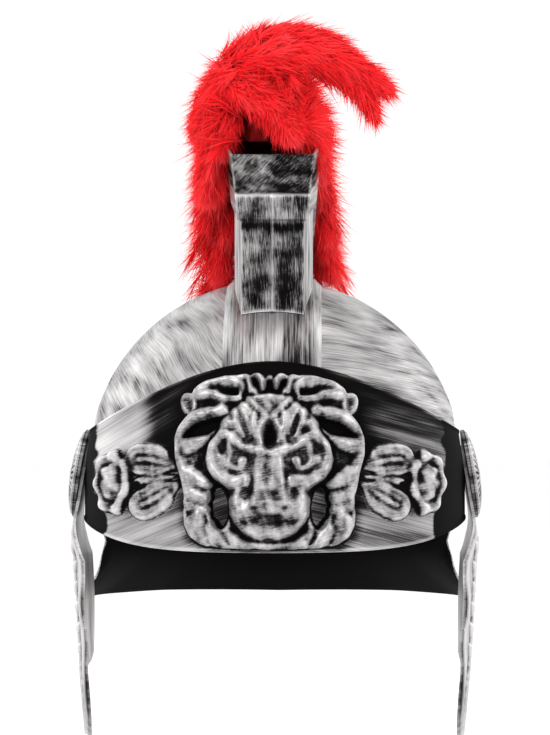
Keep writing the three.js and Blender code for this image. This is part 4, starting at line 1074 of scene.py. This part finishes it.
# Tufts of down: each has a quill on a quadratic curve; its barbs leave it at a narrow angle, sag with the
# square of their length, lie flat to the outside of the mass, and close to a point
def makeTufts(name, roots, controls, tips, length, facing, seed):
    rng = np.random.default_rng(seed)
    count, barbs = len(roots), plume["barbs"]
    t = (np.arange(barbs) + rng.uniform(0, 1, (count, barbs))) / barbs
    f = (0.03 + 0.92 * t)[..., None]
    a, b, c = roots[:, None], controls[:, None], tips[:, None]
    start = (1 - f) ** 2 * a + 2 * f * (1 - f) * b + f ** 2 * c
    forward = unit(2 * (1 - f) * (b - a) + 2 * f * (c - b))
    outer = np.broadcast_to(facing[:, None], start.shape)
    outward = unit(np.cross(forward, rng.normal(size=start.shape)) + 0.35 * outer)
    heading = unit(forward + outward * plume["spread"] * rng.uniform(0.3, 1.5, f.shape) * (1.15 - 0.5 * f))
    reach = length[:, None, None] * (1.05 - 0.4 * f) * rng.uniform(0.5, 1.35, f.shape)
    bend = outward * rng.uniform(-0.1, 0.3, f.shape) + rng.normal(size=start.shape) * 0.12 + [0, 0, -0.16]
    middle = start + heading * reach * 0.5 + bend * reach * 0.25
    tip = start + heading * reach + bend * reach
    flat = unit(np.cross(heading, outer + 0.4 * rng.normal(size=start.shape))) * plume["barbHalf"]
    points = np.stack([start + flat * 0.8, start - flat * 0.8, middle + flat, middle - flat, tip], 2)
    base = np.arange(count * barbs)[:, None] * 5
    # Painted shade and painted glow: each barb darker at its root and brighter to its tip, about a random
    # tone for each tuft
    shade = rng.normal(0, 0.10, (count, 1)) + rng.normal(0, 0.07, (count, barbs)) + 0.27 + 0.40 * t
    paintedShadeDepth = shade[..., None] + np.array([-0.06, -0.06, 0.12, 0.12, 0.3])
    downMesh(name, points.reshape(-1, 3), base + [[0, 1, 3, 2]], base + [[2, 3, 4]], paintedShadeDepth)


# Lock of down: tufts start round its middle line and follow it, and the last ones trail past its end
def plumeLock(name, rows, count, long, seed):
    rng = np.random.default_rng(seed)
    rows = np.array(rows, float)
    keys = np.linspace(0, 1, len(rows))
    run = np.linalg.norm(np.diff(rows[:, :3], axis=0), axis=1).sum()
    spin = rng.uniform(0, 2 * math.pi, count)[:, None]
    deep = rng.uniform(0.3, 0.85, count)[:, None]

    def placeAt(share):
        return np.stack([smoothTable(share, keys, rows[:, i]) for i in range(3)], -1)

    def around(share):
        at = placeAt(share)
        before, after = placeAt(np.maximum(share - 0.03, 0)), placeAt(np.minimum(share + 0.03, 1))
        forward = unit(after - before)
        sideA = unit(np.cross(forward, [0, 1.0, 0]))
        outward = sideA * np.cos(spin) + np.cross(forward, sideA) * np.sin(spin)
        return at, forward, outward, smoothTable(share, keys, rows[:, 3])[:, None]

    share = rng.uniform(0, 0.96, count)
    at, forward, outward, thick = around(share)
    last = share + long * rng.uniform(0.7, 1.2, count) / run
    atEnd, forwardEnd, outwardEnd, thickEnd = around(np.minimum(last, 1))
    roots = at + outward * thick * deep * 0.6
    over = (np.maximum(last - 1, 0) * run * 0.6)[:, None]
    tips = atEnd + forwardEnd * over + outwardEnd * thickEnd * deep * rng.uniform(0.8, 1.15, (count, 1))
    middle = (roots + tips) / 2 + outward * thick * 0.22
    barb = long * (0.42 + 0.2 * rng.uniform(0, 1, count))
    makeTufts(name, roots, middle, tips, barb, unit(outward + outwardEnd), seed + 1)


# Middle line of the plume over the crest, and how far its down reaches upwards and to the sides
def plumeAt(along):
    at = crestAt(along)
    tall, wide = [smoothTable(along, crestAlong, plume[key]) for key in ("tall", "wide")]
    return at["y"], at["top"], tall, wide


# Tufts of the run over the crest: they fan out from the trough, rise over its walls and hang beside it. The
# plume leans to the left, but the tufts that hang on the right lean less, so that they stay off the trough
def plumeRun(name, start, end, count, seed):
    rng = np.random.default_rng(seed)
    along = start + (end - start) * (np.arange(count) + rng.uniform(0, 1, count)) / count
    y, top, tall, wide = plumeAt(along)
    fan = np.radians(rng.uniform(-125, 125, count))
    sine, cosine = np.sin(fan), np.cos(fan)
    reach = rng.uniform(0.5, 0.86, count)
    sweep = rng.normal(6, 8, count)
    hang = (16 + 10 * along) * np.abs(sine) + 24 * np.clip(-cosine, 0, 1)
    lean = plume["lean"] * np.where(sine > 0, 0.35 + 0.65 * np.clip(cosine, 0, 1), 1)
    tipLevel = top + 12 + tall * reach * np.clip(cosine, 0, 1) - hang
    tips = pointGrid(lean + wide * reach * sine, y + sweep, tipLevel)
    roots = pointGrid(lean * 0.6 + wide * 0.3 * sine, y, top + 6 + tall * 0.25 * np.clip(cosine, -0.1, 1))
    middle = (roots + tips) / 2 + pointGrid(6 * sine, 0, 7 + 7 * np.abs(sine))
    facing = unit(np.stack([sine, 0.25 * rng.normal(size=count), np.clip(cosine, 0.1, 1)], -1))
    makeTufts(name, roots, middle, tips, 13 + 6 * rng.uniform(0, 1, count), facing, seed + 1)


# Packed down in the middle: rings about the plume's line with a lumpy radius, closed at both ends, in the
# darkest colour as painted shade
def plumeCore(name):
    along = np.linspace(0.09, 0.97, 70)
    y, top, tall, wide = plumeAt(along)
    turn = fullTurn(40)[None, :]
    lump = 1 + 0.10 * waveField(along[:, None] * 300, turn * 40, 22, 61)
    ease = np.sqrt(np.clip(np.sin(np.pi * np.linspace(0.02, 0.98, 70)), 0, 1))[:, None]
    x = plume["lean"] * 0.8 + 0.52 * wide[:, None] * ease * lump * np.sin(turn)
    up = np.clip(np.cos(turn), -0.12, 1)
    z = top[:, None] + 3 + 0.6 * tall[:, None] * ease * lump * up
    beyond = np.abs(x) > crestAt(along)["trough"][:, None] - 3
    z = np.where((up < 0) & beyond, np.maximum(z, top[:, None] + 2), z)
    grid = pointGrid(x, y[:, None], z)
    rows, columns = grid.shape[:2]
    index = np.concatenate([np.arange(rows * columns).reshape(rows, columns)] * 2, 1)[:, :columns + 1]
    quads = gridQuads(index)
    centres = np.stack([grid[0].mean(0), grid[-1].mean(0)])
    first = np.stack([np.full(columns, rows * columns), index[0, 1:], index[0, :-1]], -1)
    last = np.stack([np.full(columns, rows * columns + 1), index[-1, :-1], index[-1, 1:]], -1)
    points = np.concatenate([grid.reshape(-1, 3), centres])
    downMesh(name, points, quads, np.concatenate([first, last]), np.zeros(len(points)))


plumeCore("plumeCore")
plumeRun("plumeFront", 0.04, 0.27, 170, 100)
plumeRun("plumeMiddle", 0.24, 0.52, 190, 200)
plumeRun("plumeRear", 0.5, 0.77, 200, 300)
plumeRun("plumeNape", 0.75, 1, 190, 400)
for seed, (name, (rows, count, long)) in enumerate(plumeLocks.items()):
    plumeLock(name, rows, count, long, 500 + 20 * seed)
print("plume ready")
